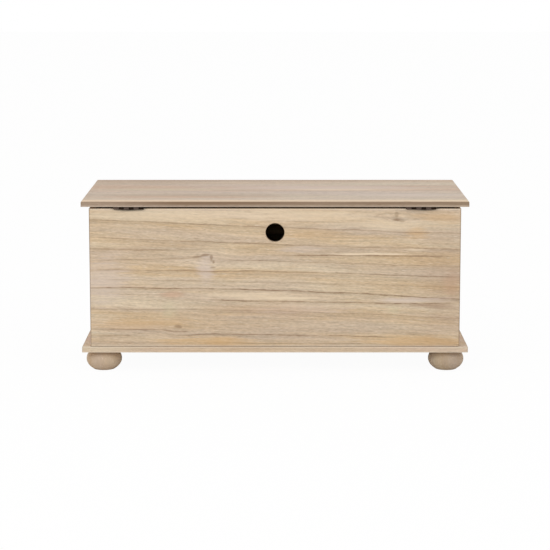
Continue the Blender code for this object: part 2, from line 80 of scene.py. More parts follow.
# The geometry that comes into a tree and goes out of it
GEOMETRY = {"Geometry": ("Geometry",)}


def linear(colour):
    """The linear channels of an sRGB hex colour."""
    channels = [int(colour[i : i + 2], 16) / 255 for i in (1, 3, 5)]
    return [c / 12.92 if c <= 0.04045 else ((c + 0.055) / 1.055) ** 2.4 for c in channels]


def colour_setting(name, description, colour):
    return bpy.props.FloatVectorProperty(
        name=name,
        description=description,
        default=linear(colour),
        subtype="COLOR",
        min=0.0,
        max=1.0,
    )


def number_setting(name, description, default, **limits):
    return bpy.props.FloatProperty(name=name, description=description, default=default, **limits)


def length_setting(name, description, default):
    return number_setting(name, description, default, min=0.0, unit="LENGTH", subtype="DISTANCE")


def share_setting(name, description, default):
    return number_setting(name, description, default, min=0.0, max=1.0, subtype="FACTOR")


def angle_setting(name, description, degrees):
    return number_setting(name, description, math.radians(degrees), subtype="ANGLE")


def count_setting(name, description, default):
    return bpy.props.IntProperty(name=name, description=description, default=default, min=12)


class ChestWood(bpy.types.PropertyGroup):
    """Colours and grain of the washed wood"""

    panel_pale: colour_setting("Panel, pale", "Pale earlywood of the panels", "#CDBBA1")
    panel_warm: colour_setting("Panel, warm", "Yellow bands of the panels", "#C5AB89")
    panel_cool: colour_setting("Panel, cool", "Grey-pink bands of the panels", "#C2AE98")
    lid_pale: colour_setting("Lid, pale", "Pale bands of the lid", "#CBBBA4")
    lid_warm: colour_setting("Lid, warm", "Pinkish bands of the lid", "#C3A78F")
    lid_cool: colour_setting("Lid, cool", "Grey bands of the lid", "#C4B2A3")
    base_pale: colour_setting("Base, pale", "Pale bands of the base board", "#D6C5AC")
    base_warm: colour_setting("Base, warm", "Warm bands of the base board", "#D3B89A")
    base_cool: colour_setting("Base, cool", "Pinkish bands of the base board", "#CDB3A2")
    foot_pale: colour_setting("Feet, pale", "Pale grain of the turned feet", "#C9B69A")
    foot_warm: colour_setting("Feet, warm", "Warm grain of the turned feet", "#BBA183")
    foot_cool: colour_setting("Feet, cool", "Pinkish grain of the turned feet", "#BEA994")
    line: colour_setting("Growth lines", "Dark latewood lines", "#7A5C3D")
    pore: colour_setting("Pores", "Open pores", "#8D745A")
    wash: colour_setting("Wash", "White wash left in the pores", "#EBDFCC")
    # Painted highlight along the lid's hinged edge, where its rounded edge catches the light
    rim: colour_setting("Rim", "Worn edge of the lid over the hinges", "#EED3B2")
    # On the lid this brown is the edges' own colour. On the panels it is painted shade in the gap
    # under the lid
    edge: colour_setting("Edges", "Brown long edges", "#80674F")
    # Dust in the joints, and painted shade where the boards meet
    dust_and_shade: colour_setting("Dust", "Dust in the joints", "#64452C")
    cream: colour_setting("Cream", "Pale sapwood tint", "#E4D0B4")
    honey: colour_setting("Honey", "Yellow tint", "#CFA772")
    blush: colour_setting("Blush", "Reddish tint", "#C29A7E")
    lilac: colour_setting("Lilac", "Grey-pink tint", "#D2C2B8")
    sage: colour_setting("Sage", "Grey-green tint", "#C9BF9F")
    umber: colour_setting("Umber", "Dark tint", "#94735B")
    # Painted shadow: a dark colour under each hinge barrel on the back panel, in place of the
    # barrel's shadow
    hinge_shadow: colour_setting("Grime", "Dirt under the hinges", "#2E2219")
    streak_width: length_setting("Streak width", "Width of the fine streaks", 0.0044)
    pore_width: length_setting("Pore width", "Width of the pore dashes", 0.0022)
    ring_spacing: length_setting("Ring spacing", "Distance between growth rings", 0.013)
    wash_amount: share_setting("Wash", "How much white the pores hold", 0.30)


class ChestMetal(bpy.types.PropertyGroup):
    """Colours of the metal fittings and the bumpers"""

    bronze: colour_setting("Bronze", "Dark bronze plating", "#080504")
    bronze_rubbed: colour_setting("Rubbed bronze", "Dark bronze where it is handled", "#1F1711")
    brown: colour_setting("Brown", "Brown bronze plating", "#1A120C")
    brown_rubbed: colour_setting("Rubbed brown", "Brown bronze where it is handled", "#34281E")
    zinc: colour_setting("Zinc", "Bright zinc plating", "#B9BAB7")
    zinc_dull: colour_setting("Dull zinc", "Zinc plating gone dull", "#92938F")
    rubber: colour_setting("Rubber", "Black bumper rubber", "#262524")


class ChestFittings(bpy.types.PropertyGroup):
    """Sizes of the hinges, screws, stays, bumpers and foot bolts"""

    leaf_thickness: length_setting("Leaf thickness", "Steel of a hinge leaf", 0.0016)
    knuckle_gap: length_setting("Knuckle gap", "Running gap at the knuckles", 0.0004)
    notch_room: length_setting("Notch room", "How far a notch goes past its knuckle", 0.0040)
    roll: angle_setting("Roll", "How far round the pin a leaf is rolled", 295)
    pin_radius: length_setting("Pin radius", "Radius of a hinge pin", 0.0016)
    pin_head: length_setting("Pin head", "Height of a pin's domed head", 0.0009)
    screw_head: length_setting("Screw head", "Radius of a screw's head", 0.0033)
    screw_shank: length_setting("Screw shank", "Radius of a screw's shank", 0.0017)
    screw_point: length_setting("Screw point", "Length of a screw's point", 0.004)
    screw_room: length_setting("Screw room", "Clearance round a screw's head", 0.0003)
    recess_length: length_setting("Recess length", "Length of a cross recess", 0.0038)
    recess_width: length_setting("Recess width", "Width of a cross recess", 0.0009)
    recess_depth: length_setting("Recess depth", "Depth of a cross recess", 0.0011)
    rivet_shank: length_setting("Rivet shank", "Radius of a rivet's shank", 0.0025)
    rivet_head: length_setting("Rivet head", "Height of a rivet's domed head", 0.0012)
    arm_width: length_setting("Arm width", "Width of a stay's arm", 0.016)
    arm_slot: length_setting("Arm slot", "Width of the slot in a stay's arm", 0.0068)
    arm_hole: length_setting("Arm hole", "Hole for the rivet in a stay's arm", 0.0056)
    rolled_edge: length_setting("Rolled edge", "Rounding of stamped edges", 0.0003)
    bolt_diameter: length_setting("Bolt diameter", "Diameter of a foot bolt", 0.008)
    bolt_chamfer: length_setting("Bolt chamfer", "Chamfer of a foot bolt's end", 0.001)
    nut_barrel: length_setting("Nut barrel", "Diameter of a tee nut's barrel", 0.010)
    nut_flange: length_setting("Nut flange", "Thickness of a tee nut's flange", 0.0015)
    facets: count_setting("Facets", "Faces round a small turned piece", 48)


class ChestFeet(bpy.types.PropertyGroup):
    """Shape of the turned feet"""

    belly: length_setting("Belly height", "Height of a foot's widest place", 0.027)
    half_height: length_setting("Half height", "Half the height of the whole flattened ball", 0.033)
    ease: length_setting("Eased edge", "Height of the eased lower edge", 0.0015)
    segments: count_setting("Segments", "Faces round a foot", 112)
    rings: count_setting("Rings", "Faces from a foot's sole to its top", 72)


class ChestStage(bpy.types.PropertyGroup):
    """Floor, light and camera"""

    floor: colour_setting("Floor", "Pale floor", "#F4F3F1")
    floor_size: length_setting("Floor size", "Side of the square floor", 40.0)
    floor_glow: share_setting("Floor glow", "Share of the floor that shows as plain white", 0.96)
    sky: number_setting("Sky", "Brightness of the even light from all round", 0.78, min=0.0)
    lamp: number_setting("Soft box", "Power of each soft box", 38.0, min=0.0, unit="POWER")
    camera_back: length_setting("Camera distance", "Distance behind the chest's middle", 4.954)
    camera_height: length_setting("Camera height", "Height over the floor", 1.087)
    camera_pitch: angle_setting("Camera pitch", "Angle below level", 8.264)
    camera_lens: number_setting("Lens", "Focal length in millimetres", 122.0, min=1.0)
    camera_shift: number_setting("Shift", "Vertical lens shift, as a share of the frame", -0.1)


def wire(tree, socket, value):
    """Sets an input to a value, or links it to a socket or to a node's first output."""
    if isinstance(value, bpy.types.Node):
        value = next(s for s in value.outputs if s.enabled)
    if isinstance(value, bpy.types.NodeSocket):
        tree.links.new(value, socket)
    else:
        socket.default_value = value


def wire_by_name(tree, node, values):
    """Sets or links the inputs of these names."""
    for name, value in values.items():
        wire(tree, next(s for s in node.inputs if s.enabled and s.name == name), value)


def add(tree, kind, *values, named=None, **settings):
    """Adds a node with its settings. Its inputs get their values in order, or by name.

    A kind in capitals is an operation of the Math node.
    """
    if kind.isupper():
        settings["operation"] = kind
        kind = "ShaderNodeMath"
    node = tree.nodes.new(kind)
    for name, value in settings.items():
        setattr(node, name, value)
    for socket, value in zip([s for s in node.inputs if s.enabled], values):
        wire(tree, socket, value)
    wire_by_name(tree, node, named or {})
    return node


def new_tree(name, kind, inputs, outputs):
    """A node tree whose sockets are listed by type, and its own inputs and outputs from within."""
    tree = bpy.data.node_groups.new(name, kind)
    for side, sockets in (("INPUT", inputs), ("OUTPUT", outputs)):
        for socket, labels in sockets.items():
            for label in labels:
                tree.interface.new_socket(label, in_out=side, socket_type="NodeSocket" + socket)
    return tree, tree.nodes.new("NodeGroupInput").outputs, tree.nodes.new("NodeGroupOutput").inputs


def shared_tree(name, make, *settings):
    """The tree of this name, made the first time that it is asked for."""
    return bpy.data.node_groups.get(name) or make(*settings)


def new_material(name):
    """A material, its node tree and its shader."""
    material = bpy.data.materials.new(name)
    material.use_nodes = True
    return material, material.node_tree, material.node_tree.nodes["Principled BSDF"]


def set_finish(obj, material):
    obj.data.materials.clear()
    obj.data.materials.append(material)


def opaque(colour):
    return (*colour, 1.0)


def drawn_noise(tree, place, stretch, detail, roughness=0.5):
    """Noise drawn out one way: it changes about as many times a metre as the stretch says."""
    stretched = add(tree, VECTOR, place, stretch, operation="MULTIPLY")
    return add(tree, NOISE, stretched, 1.0, detail, roughness)


# Wood


def bend_grain(tree, give, offset):
    """Lets the grain fall across the board, and bends it by slow waves and by quick, small ones."""
    place = add(tree, VECTOR, give["Grain Position"], offset, operation="ADD")
    slow_noise = drawn_noise(tree, place, (2.3, 7.0, 7.0), 2.0)
    quick_noise = drawn_noise(tree, place, (9.0, 30.0, 30.0), 2.0)
    slow_reach = 0.016
    quick_reach = 0.001
    slow = add(tree, RANGE, slow_noise, 0.0, 1.0, -slow_reach, slow_reach)
    quick = add(tree, RANGE, quick_noise, 0.0, 1.0, -quick_reach, quick_reach)
    bend = add(tree, "ADD", slow, quick)
    along, width, depth = add(tree, SPLIT, give["Grain Position"]).outputs
    fall = add(tree, "MULTIPLY_ADD", along, give["Slope"], bend)
    across = add(tree, "ADD", width, fall)
    return add(tree, JOIN, along, across, depth)


def growth_rings(tree, give, grain, place, spacing):
    """Rings round the tree's heart: each darkens slowly and ends in a sharp line."""
    at = add(tree, SPLIT, grain).outputs
    from_heart = add(tree, "SUBTRACT", at[1], give["Heart Across"])
    below = add(tree, "ADD", at[2], give["Heart Below"])
    radial = add(tree, JOIN, from_heart, below)
    radius = add(tree, VECTOR, radial, operation="LENGTH").outputs["Value"]
    rings = add(tree, "MULTIPLY", radius, 1 / spacing)
    ring = add(tree, "FLOOR", rings)
    within = add(tree, "SUBTRACT", rings, ring)
    rise = add(tree, "POWER", within, 5.0)
    stop = add(tree, RANGE, within, 0.93, 1.0, 1.0, 0.0)
    ring_seed = add(tree, "ADD", ring, give["Seed"])
    lottery = add(tree, "ShaderNodeTexWhiteNoise", named={"W": ring_seed}, noise_dimensions="1D")
    strength = add(tree, "POWER", lottery, 2.0)
    fade_noise = drawn_noise(tree, place, (3.0, 40.0, 40.0), 3.0)
    fade = add(tree, RANGE, fade_noise, 0.35, 0.65)
    line = rise
    for share in (stop, strength, fade, give["Figure"]):
        line = add(tree, "MULTIPLY", line, share)
    return line


def colour_bands(tree, give, place):
    """Broad bands of pale, warm and cool wood, and the noise behind the warm ones."""
    along = add(tree, "DIVIDE", 0.07, give["Band Width"])
    across = add(tree, "DIVIDE", 1.0, give["Band Width"])
    stretch = add(tree, JOIN, along, across, across)
    band_at = add(tree, VECTOR, place, stretch, operation="MULTIPLY")
    elsewhere = add(tree, VECTOR, band_at, (7.3, 4.1, 9.2), operation="ADD")
    bands = add(tree, NOISE, band_at, 1.0, 3.0, 0.55)
    others = add(tree, NOISE, elsewhere, 1.0, 3.0, 0.55)
    warm = add(tree, RANGE, bands, 0.38, 0.64)
    cool = add(tree, RANGE, others, 0.44, 0.68)
    colour = add(tree, MIX, warm, give["Pale"], give["Warm"], data_type="RGBA")
    return add(tree, MIX, cool, colour, give["Cool"], data_type="RGBA"), bands


def fine_streaks(tree, give, place, width):
    """Short streaks, and the light that they, long ones and small torn flecks leave."""
    streak = 1 / width
    long_streaks = drawn_noise(tree, place, (2.8, streak, streak), 2.0)
    streaks = drawn_noise(tree, place, (11.0, 1.3 * streak, 1.3 * streak), 3.0, 0.6)
    flecks = drawn_noise(tree, place, (95.0, 1.5 * streak, 1.5 * streak), 2.0)
    long_share = 0.6
    fleck_share = 0.8
    mixed = add(tree, "MULTIPLY_ADD", long_streaks, long_share, streaks)
    everything = add(tree, "MULTIPLY_ADD", flecks, fleck_share, mixed)
    middle = (long_share + 1.0 + fleck_share) / 2
    centred = add(tree, "SUBTRACT", everything, middle)
    return streaks, add(tree, "MULTIPLY_ADD", centred, give["Contrast"], 1.0)


def open_pores(tree, give, place, wood):
    """Short dashes, of which some stay dark and the wash fills the others."""
    pore = 1 / wood.pore_width
    pores = drawn_noise(tree, place, (45.0, pore, pore), 1.0)
    deep = add(tree, RANGE, pores, 0.62, 0.80, interpolation_type="SMOOTHSTEP")
    dark = add(tree, "MULTIPLY", deep, give["Contrast"])
    wash = wood.wash_amount
    washed = add(tree, RANGE, pores, 0.40, 0.26, 0.0, wash, interpolation_type="SMOOTHSTEP")
    return dark, washed


def rubbed_corners(tree, give, depths, streaks):
    """Corners rubbed pale. The middle one of a point's three depths is its distance to a corner."""
    end_depth, side_depth, face_depth = depths
    far_end = add(tree, "MULTIPLY", end_depth, 3.0)
    least = add(tree, "MINIMUM", far_end, side_depth)
    most = add(tree, "MAXIMUM", far_end, side_depth)
    next_least = add(tree, "MINIMUM", most, face_depth)
    corner = add(tree, "MAXIMUM", least, next_least)
    share = add(tree, "DIVIDE", corner, give["Rub Width"])
    ragged = add(tree, "MULTIPLY_ADD", streaks, 0.8, share)
    return add(tree, RANGE, ragged, 1.4, 0.4, 0.0, 0.65, interpolation_type="SMOOTHSTEP")


def painted_rim_highlight(tree, give, side_face, streaks):
    """A painted highlight: a pale rim along the hinged edge of the upper face, where its rounded
    edge catches the light.
    """
    width = add(tree, SPLIT, give["Position"]).outputs[1]
    half_width = add(tree, SPLIT, give["Half Size"]).outputs[1]
    from_hinges = add(tree, "ADD", width, half_width)
    share = add(tree, "DIVIDE", from_hinges, give["Highlight Width"])
    frayed = add(tree, "MULTIPLY_ADD", streaks, 0.5, share)
    rim = add(tree, RANGE, frayed, 1.2, 0.6, 0.0, 0.60)
    has_highlight = add(tree, "GREATER_THAN", give["Highlight Width"], 0.0)
    off_side = add(tree, "SUBTRACT", 1.0, side_face)
    on_face = add(tree, "MULTIPLY", has_highlight, off_side)
    return add(tree, "MULTIPLY", rim, on_face)


def brown_and_shaded_edges(tree, give, side_face, bands):
    """Long edges, brown in patches: more so near the upper face and past where the brown starts.
    On the panels the brown is painted shade in the gap under the lid.
    """
    along = add(tree, SPLIT, give["Grain Position"]).outputs[0]
    deep = add(tree, SPLIT, give["Position"]).outputs[2]
    upper = add(tree, RANGE, deep, -0.0075, 0.0, 0.35, 1.0)
    begun = add(tree, "SUBTRACT", along, give["Edge Start"])
    reached = add(tree, RANGE, begun, 0.0, 0.20, 0.72, 1.0)
    patchy = add(tree, RANGE, bands, 0.3, 0.7, 0.7, 1.1)
    brown = side_face
    for share in (give["Edge Brown And Shade"], upper, reached, patchy):
        brown = add(tree, "MULTIPLY", brown, share)

    # In its patches the brown may come out above 1
    brown.use_clamp = True
    return brown


def grain_tree(wood):
    """Solid wood in a board's own directions: X along its grain, Y across its face, Z through it.

    Growth rings lie round the tree's heart, bent by slow noise. Bands, streaks and pores run with
    them, and the wash lies in the pores. Corners are rubbed pale, the hinged edge gets a painted
    highlight, long edges are brown (on the panels, painted shade in the gap under the lid), and
    ends dark.
    """
    inputs = {
        "Vector": ("Position", "Grain Position", "Half Size"),
        "Float": ("Seed", "Slope", "Heart Across", "Heart Below", "Tone", *TONE_VALUES),
        "Color": GROUND_COLOURS,
    }
    outputs = {"Color": ("Color",), "Float": ("Roughness", "Height")}
    tree, give, take = new_tree("washed_wood_grain", "ShaderNodeTree", inputs, outputs)

    # Each board is cut from another place of the tree
    offset = add(tree, VECTOR, (3.7, 1.3, 2.1), give["Seed"], operation="SCALE")
    grain = bend_grain(tree, give, offset)
    place = add(tree, VECTOR, grain, offset, operation="ADD")
    ground, bands = colour_bands(tree, give, place)
    streaks, light = fine_streaks(tree, give, place, wood.streak_width)
    dark_pores, washed_pores = open_pores(tree, give, place, wood)
    toned = add(tree, "MULTIPLY", light, give["Tone"])
    colour = add(tree, VECTOR, ground, toned, operation="SCALE")

    # Distance in from the board's end, side and face
    inwards = add(tree, VECTOR, give["Position"], operation="ABSOLUTE")
    inside = add(tree, VECTOR, give["Half Size"], inwards, operation="SUBTRACT")
    depths = add(tree, SPLIT, inside).outputs
    side_share = add(tree, "DIVIDE", depths[1], give["Edge Reach"])
    side_face = add(tree, RANGE, side_share, 1.0, 0.4)
    end_face = add(tree, RANGE, depths[0], 0.0035, 0.0008, 0.0, 0.35)
    layers = (
        (growth_rings(tree, give, grain, place, wood.ring_spacing), wood.line),
        (dark_pores, wood.pore),
        (washed_pores, wood.wash),
        (rubbed_corners(tree, give, depths, streaks), wood.wash),
        (painted_rim_highlight(tree, give, side_face, streaks), wood.rim),
        (brown_and_shaded_edges(tree, give, side_face, bands), wood.edge),
        (end_face, wood.pore),
    )
    for amount, tint in layers:
        colour = add(tree, MIX, amount, colour, opaque(tint), data_type="RGBA")

    # Latewood is smoother than the open pores, and the pores lie below the surface
    wire(tree, take["Color"], colour)
    wire(tree, take["Roughness"], add(tree, RANGE, streaks, 0.3, 0.7, 0.58, 0.74))
    wire(tree, take["Height"], add(tree, "SUBTRACT", streaks, dark_pores))
    return tree


def board_turn(along, across):
    """The turn that lays the grain's direction on X and the face's width on Y."""
    u, v = AXES[along], AXES[across]
    return Matrix((u, v, u.cross(v))).to_euler()


def washed_wood(name, centre, half, along, across, grain, values, figure=None):
    """Solid pale hardwood, brushed so that the grain stands open, washed white and sealed matt.

    The eye gets long soft bands, fine streaks, short pores, dark growth lines and rubbed corners.
    """
    material, tree, shader = new_material(name)
    turn = board_turn(along, across)
    start = -(turn.to_matrix() @ centre)
    place = add(tree, "ShaderNodeTexCoord").outputs["Object"]
    position = add(tree, "ShaderNodeMapping", place, start, turn)
    bent = figure.bend_round_knots(tree, position) if figure else position
    given = {"Position": position, "Grain Position": bent, "Half Size": half, **values}
    wood = add(tree, "ShaderNodeGroup", named=given, node_tree=grain)
    grooves = {"Strength": 0.35, "Distance": 0.0004, "Height": wood.outputs["Height"]}
    finish = {
        "Base Color": figure.draw(tree, bent, wood) if figure else wood,
        "Roughness": wood.outputs["Roughness"],
        "Normal": add(tree, "ShaderNodeBump", named=grooves),
        "Specular IOR Level": 0.4,
    }
    wire_by_name(tree, shader, finish)
    return material


# The back panel's dark growth lines. Heights are in millimetres above its lower edge, at its left
# end, middle and right end. Then come half the width in millimetres, the strength, and where the
# line starts and stops, in millimetres along the panel from its middle.
BACK_LINES = (
    (333, 313, 297, 2.4, 0.65, -500, 500),
    (287, 268, 255, 2.6, 0.65, -460, 500),
    (256, 250, 246, 2.4, 0.60, -500, -170),
    (227, 235, 243, 2.2, 0.45, -460, -210),
    (236, 224, 208, 2.2, 0.50, -120, 500),
    (245, 240, 236, 2.6, 0.90, 30, 430),
    (201, 197, 181, 3.0, 0.65, -460, 500),
    (177, 168, 155, 2.2, 0.40, -420, 500),
    (155, 148, 124, 2.6, 0.95, -500, 500),
    (130, 119, 113, 3.0, 0.90, -150, 440),
    (99, 93, 74, 2.6, 0.45, -500, 500),
    (46, 43, 40, 2.4, 0.70, -460, -235),
    (36, 31, 20, 2.6, 0.75, -245, 290),
    (30, 28, 24, 2.2, 0.60, -480, -370),
    (12, 9, 5, 2.0, 0.45, -480, 500),
)

# The back panel's knots: place along from the middle, height, half length and half height in
# millimetres, and strength. Each is a few dark strokes.
BACK_KNOTS = (
    (-180, 236, 13, 2.0, 0.65),
    (-205, 234, 16, 1.8, 0.60),
    (-164, 232, 4, 5, 0.50),
    (-158, 226, 4, 3, 0.55),
    (-160, 213, 8, 3, 0.45),
    (-250, 52, 12, 2.4, 0.45),
    (-234, 44, 9, 2.2, 0.40),
    (313, 336, 13, 3, 0.65),
    (312, 343, 6, 7, 0.35),
    (327, 333, 9, 2, 0.35),
)

# Where the grain parts round the back panel's knots: place along and height
BACK_EYES = ((-168, 231), (-250, 52), (318, 340))

# The back panel's tints: place along and height, half length and half height in millimetres,
# strength and colour.
BACK_TINTS = (
    (-440, 180, 75, 75, 0.45, "lilac"),
    (-370, 57, 150, 14, 0.35, "honey"),
    (-200, 16, 120, 13, 0.45, "honey"),
    (-265, 137, 34, 12, 0.50, "blush"),
    (-273, 92, 22, 30, 0.35, "sage"),
    (-178, 200, 24, 36, 0.60, "lilac"),
    (-275, 262, 130, 17, 0.22, "umber"),
    (-250, 345, 260, 20, 0.45, "cream"),
    (70, 346, 220, 22, 0.55, "cream"),
    (105, 297, 95, 14, 0.22, "honey"),
    (80, 256, 80, 9, 0.35, "lilac"),
    (-60, 135, 150, 10, 0.55, "cream"),
    (30, 127, 120, 4, 0.80, "cream"),
    (0, 98, 170, 22, 0.18, "blush"),
    (80, 100, 130, 14, 0.30, "lilac"),
    (290, 321, 160, 16, 0.40, "cream"),
    (362, 296, 34, 16, 0.50, "honey"),
    (425, 338, 64, 18, 0.35, "honey"),
    (365, 253, 36, 3.2, 0.75, "cream"),
    (240, 242, 120, 2.6, 0.90, "cream"),
    (456, 163, 26, 38, 0.35, "blush"),
    (365, 123, 120, 9, 0.60, "lilac"),
    (415, 107, 80, 8, 0.40, "umber"),
    (308, 94, 18, 20, 0.35, "sage"),
    (360, 14, 150, 15, 0.45, "honey"),
    (-115, 12, 80, 12, 0.30, "honey"),
    (450, 150, 90, 190, 0.20, "umber"),
)

# The front panel's growth lines, knots and tints, as the back panel's
FRONT_LINES = (
    (322, 331, 345, 2.4, 0.55, -500, 500),
    (270, 287, 292, 2.6, 0.70, -500, 430),
    (252, 257, 263, 2.0, 0.35, -300, 60),
    (219, 231, 249, 3.0, 0.75, -330, 500),
    (190, 198, 206, 2.2, 0.40, -500, 500),
    (137, 155, 170, 2.8, 0.80, -150, 500),
    (117, 122, 129, 2.4, 0.50, -500, 200),
    (82, 95, 99, 2.6, 0.60, -390, 500),
    (62, 66, 75, 2.0, 0.35, -200, 300),
    (31, 44, 49, 2.6, 0.75, -470, 300),
    (13, 16, 25, 2.2, 0.40, -500, 500),
)
FRONT_KNOTS = (
    (-262, 226, 11, 3, 0.55),
    (-254, 220, 8, 2.4, 0.40),
    (206, 74, 12, 3, 0.55),
    (214, 80, 7, 5, 0.35),
)
FRONT_EYES = ((-258, 224), (208, 76))
FRONT_TINTS = (
    (-330, 345, 190, 18, 0.45, "cream"),
    (210, 338, 220, 20, 0.40, "cream"),
    (-60, 305, 120, 13, 0.30, "honey"),
    (330, 268, 110, 14, 0.40, "lilac"),
    (-400, 258, 90, 18, 0.40, "lilac"),
    (60, 241, 150, 6, 0.70, "cream"),
    (-120, 214, 180, 14, 0.28, "blush"),
    (380, 214, 90, 16, 0.35, "honey"),
    (-380, 180, 120, 14, 0.40, "honey"),
    (130, 178, 160, 14, 0.35, "sage"),
    (-200, 140, 170, 6, 0.70, "cream"),
    (280, 132, 170, 14, 0.30, "blush"),
    (-360, 88, 110, 18, 0.35, "umber"),
    (30, 72, 130, 16, 0.45, "lilac"),
    (370, 76, 100, 16, 0.40, "honey"),
    (-150, 28, 200, 10, 0.45, "honey"),
    (250, 20, 190, 9, 0.45, "cream"),
)

# The side panels' growth lines and tints, with places along from the panel's middle
LEFT_LINES = (
    (335, 328, 312, 2.4, 0.55, -210, 210),
    (283, 272, 262, 2.8, 0.70, -210, 210),
    (246, 240, 236, 2.0, 0.35, -60, 210),
    (221, 206, 195, 2.6, 0.75, -210, 210),
    (158, 150, 136, 2.8, 0.70, -210, 210),
    (124, 118, 109, 2.0, 0.40, -90, 210),
    (99, 88, 84, 2.6, 0.65, -210, 210),
    (52, 46, 38, 2.2, 0.45, -210, 210),
    (27, 20, 16, 2.4, 0.55, -210, 210),
)
LEFT_TINTS = (
    (-60, 345, 170, 16, 0.45, "cream"),
    (110, 284, 90, 12, 0.40, "lilac"),
    (-110, 251, 90, 12, 0.35, "honey"),
    (60, 222, 100, 6, 0.65, "cream"),
    (-90, 196, 110, 10, 0.35, "blush"),
    (100, 165, 90, 14, 0.40, "honey"),
    (-60, 128, 120, 10, 0.40, "sage"),
    (-120, 74, 80, 13, 0.45, "lilac"),
    (90, 68, 100, 7, 0.60, "cream"),
    (0, 36, 150, 9, 0.40, "honey"),
)
RIGHT_LINES = (
    (327, 334, 341, 2.2, 0.40, -210, 210),
    (291, 303, 313, 2.6, 0.70, -210, 210),
    (243, 258, 265, 2.6, 0.65, -210, 210),
    (221, 226, 232, 2.0, 0.35, -90, 210),
    (181, 193, 202, 2.8, 0.80, -210, 210),
    (117, 131, 141, 2.6, 0.65, -210, 210),
    (104, 108, 112, 2.0, 0.40, -210, 60),
    (61, 72, 82, 2.6, 0.70, -210, 210),
    (31, 37, 46, 2.2, 0.45, -210, 210),
)
RIGHT_TINTS = (
    (40, 350, 170, 12, 0.45, "cream"),
    (-100, 318, 90, 10, 0.35, "honey"),
    (100, 282, 90, 11, 0.40, "honey"),
    (-90, 236, 110, 10, 0.40, "lilac"),
    (80, 208, 90, 6, 0.65, "cream"),
    (-60, 176, 120, 8, 0.35, "blush"),
    (110, 147, 80, 11, 0.40, "sage"),
    (-100, 114, 90, 8, 0.60, "cream"),
    (70, 88, 110, 10, 0.35, "umber"),
    (-60, 50, 120, 10, 0.40, "honey"),
)

# The lid's tints, as the back panel's, with heights from its hinged edge. The first, a dark band
# along the far edge, is painted shade.
LID_TINTS = (
    (-100, 435, 700, 34, 0.45, "umber"),
    (-380, 380, 260, 60, 0.25, "umber"),
    (110, 270, 330, 50, 0.60, "lilac"),
    (170, 232, 220, 26, 0.45, "cream"),
    (-300, 235, 240, 24, 0.40, "sage"),
    (-250, 115, 380, 44, 0.38, "umber"),
    (-250, 80, 300, 30, 0.50, "blush"),
    (360, 120, 180, 34, 0.45, "lilac"),
)


def knot_bend_tree():
    """Bends the grain round a knot: lines that run towards it part above and below."""
    inputs = {"Vector": ("Place", "Knot", "Reach")}
    tree, give, take = new_tree("knot_bend", "ShaderNodeTree", inputs, {"Vector": ("Place",)})
    off = add(tree, VECTOR, give["Place"], give["Knot"], operation="SUBTRACT")
    scaled = add(tree, VECTOR, off, give["Reach"], operation="DIVIDE")
    square = add(tree, VECTOR, scaled, scaled, operation="DOT_PRODUCT").outputs["Value"]
    lower = add(tree, "MULTIPLY", square, -1.0)
    near = add(tree, "EXPONENT", lower)
    pull = add(tree, VECTOR, off, (0.0, -0.6, 0.0), operation="MULTIPLY")
    push = add(tree, VECTOR, pull, near, operation="SCALE")
    wire(tree, take["Place"], add(tree, VECTOR, give["Place"], push, operation="ADD"))
    return tree


def soft_spot_tree():
    """Tints the wood in a soft spot whose outline is frayed along the grain."""
    inputs = {
        "Color": ("Color", "Tint"),
        "Vector": ("Place", "Middle", "Reach"),
        "Float": ("Fray", "Strength"),
    }
    tree, give, take = new_tree("soft_spot", "ShaderNodeTree", inputs, {"Color": ("Color",)})
    off = add(tree, VECTOR, give["Place"], give["Middle"], operation="SUBTRACT")
    scaled = add(tree, VECTOR, off, give["Reach"], operation="DIVIDE")
    distance = add(tree, VECTOR, scaled, operation="LENGTH").outputs["Value"]
    frayed = add(tree, "ADD", distance, give["Fray"])
    spot = add(tree, RANGE, frayed, 1.25, 0.25, interpolation_type="SMOOTHSTEP")
    amount = add(tree, "MULTIPLY", spot, give["Strength"])
    tinted = add(tree, MIX, amount, give["Color"], give["Tint"], data_type="RGBA")
    wire(tree, take["Color"], tinted)
    return tree


def growth_line_tree():
    """One dark growth line on a bowed path, with a soft shade below, added to the lines so far."""
    values = ("Lines", "Height", "Slope", "Bow", "Half Width", "Strength", "Start", "Stop")
    inputs = {"Vector": ("Place",), "Float": values}
    tree, give, take = new_tree("growth_line", "ShaderNodeTree", inputs, {"Float": ("Lines",)})
    along, high, _ = add(tree, SPLIT, give["Place"]).outputs
    rise = add(tree, "MULTIPLY_ADD", along, give["Bow"], give["Slope"])
    path = add(tree, "MULTIPLY_ADD", along, rise, give["Height"])
    off = add(tree, "SUBTRACT", high, path)
    share = add(tree, "DIVIDE", off, give["Half Width"])
    away = add(tree, "ABSOLUTE", share)

    # The line fades out 1.1 half widths from its middle, and the shade below it 4 half widths
    core = add(tree, RANGE, away, 1.1, 0.0, interpolation_type="SMOOTHSTEP")
    shade = add(tree, RANGE, away, 4.0, 0.5, 0.0, 0.24, interpolation_type="SMOOTHSTEP")
    below = add(tree, "LESS_THAN", share, 0.0)
    under = add(tree, "MULTIPLY", shade, below)
    line = add(tree, "MAXIMUM", core, under)
    from_start = add(tree, "SUBTRACT", along, give["Start"])
    to_stop = add(tree, "SUBTRACT", give["Stop"], along)
    least = add(tree, "MINIMUM", from_start, to_stop)
    stretch = add(tree, RANGE, least, -0.03, 0.03)
    shown = add(tree, "MULTIPLY", line, stretch)
    dark = add(tree, "MULTIPLY", shown, give["Strength"])
    wire(tree, take["Lines"], add(tree, "MAXIMUM", give["Lines"], dark))
    return tree


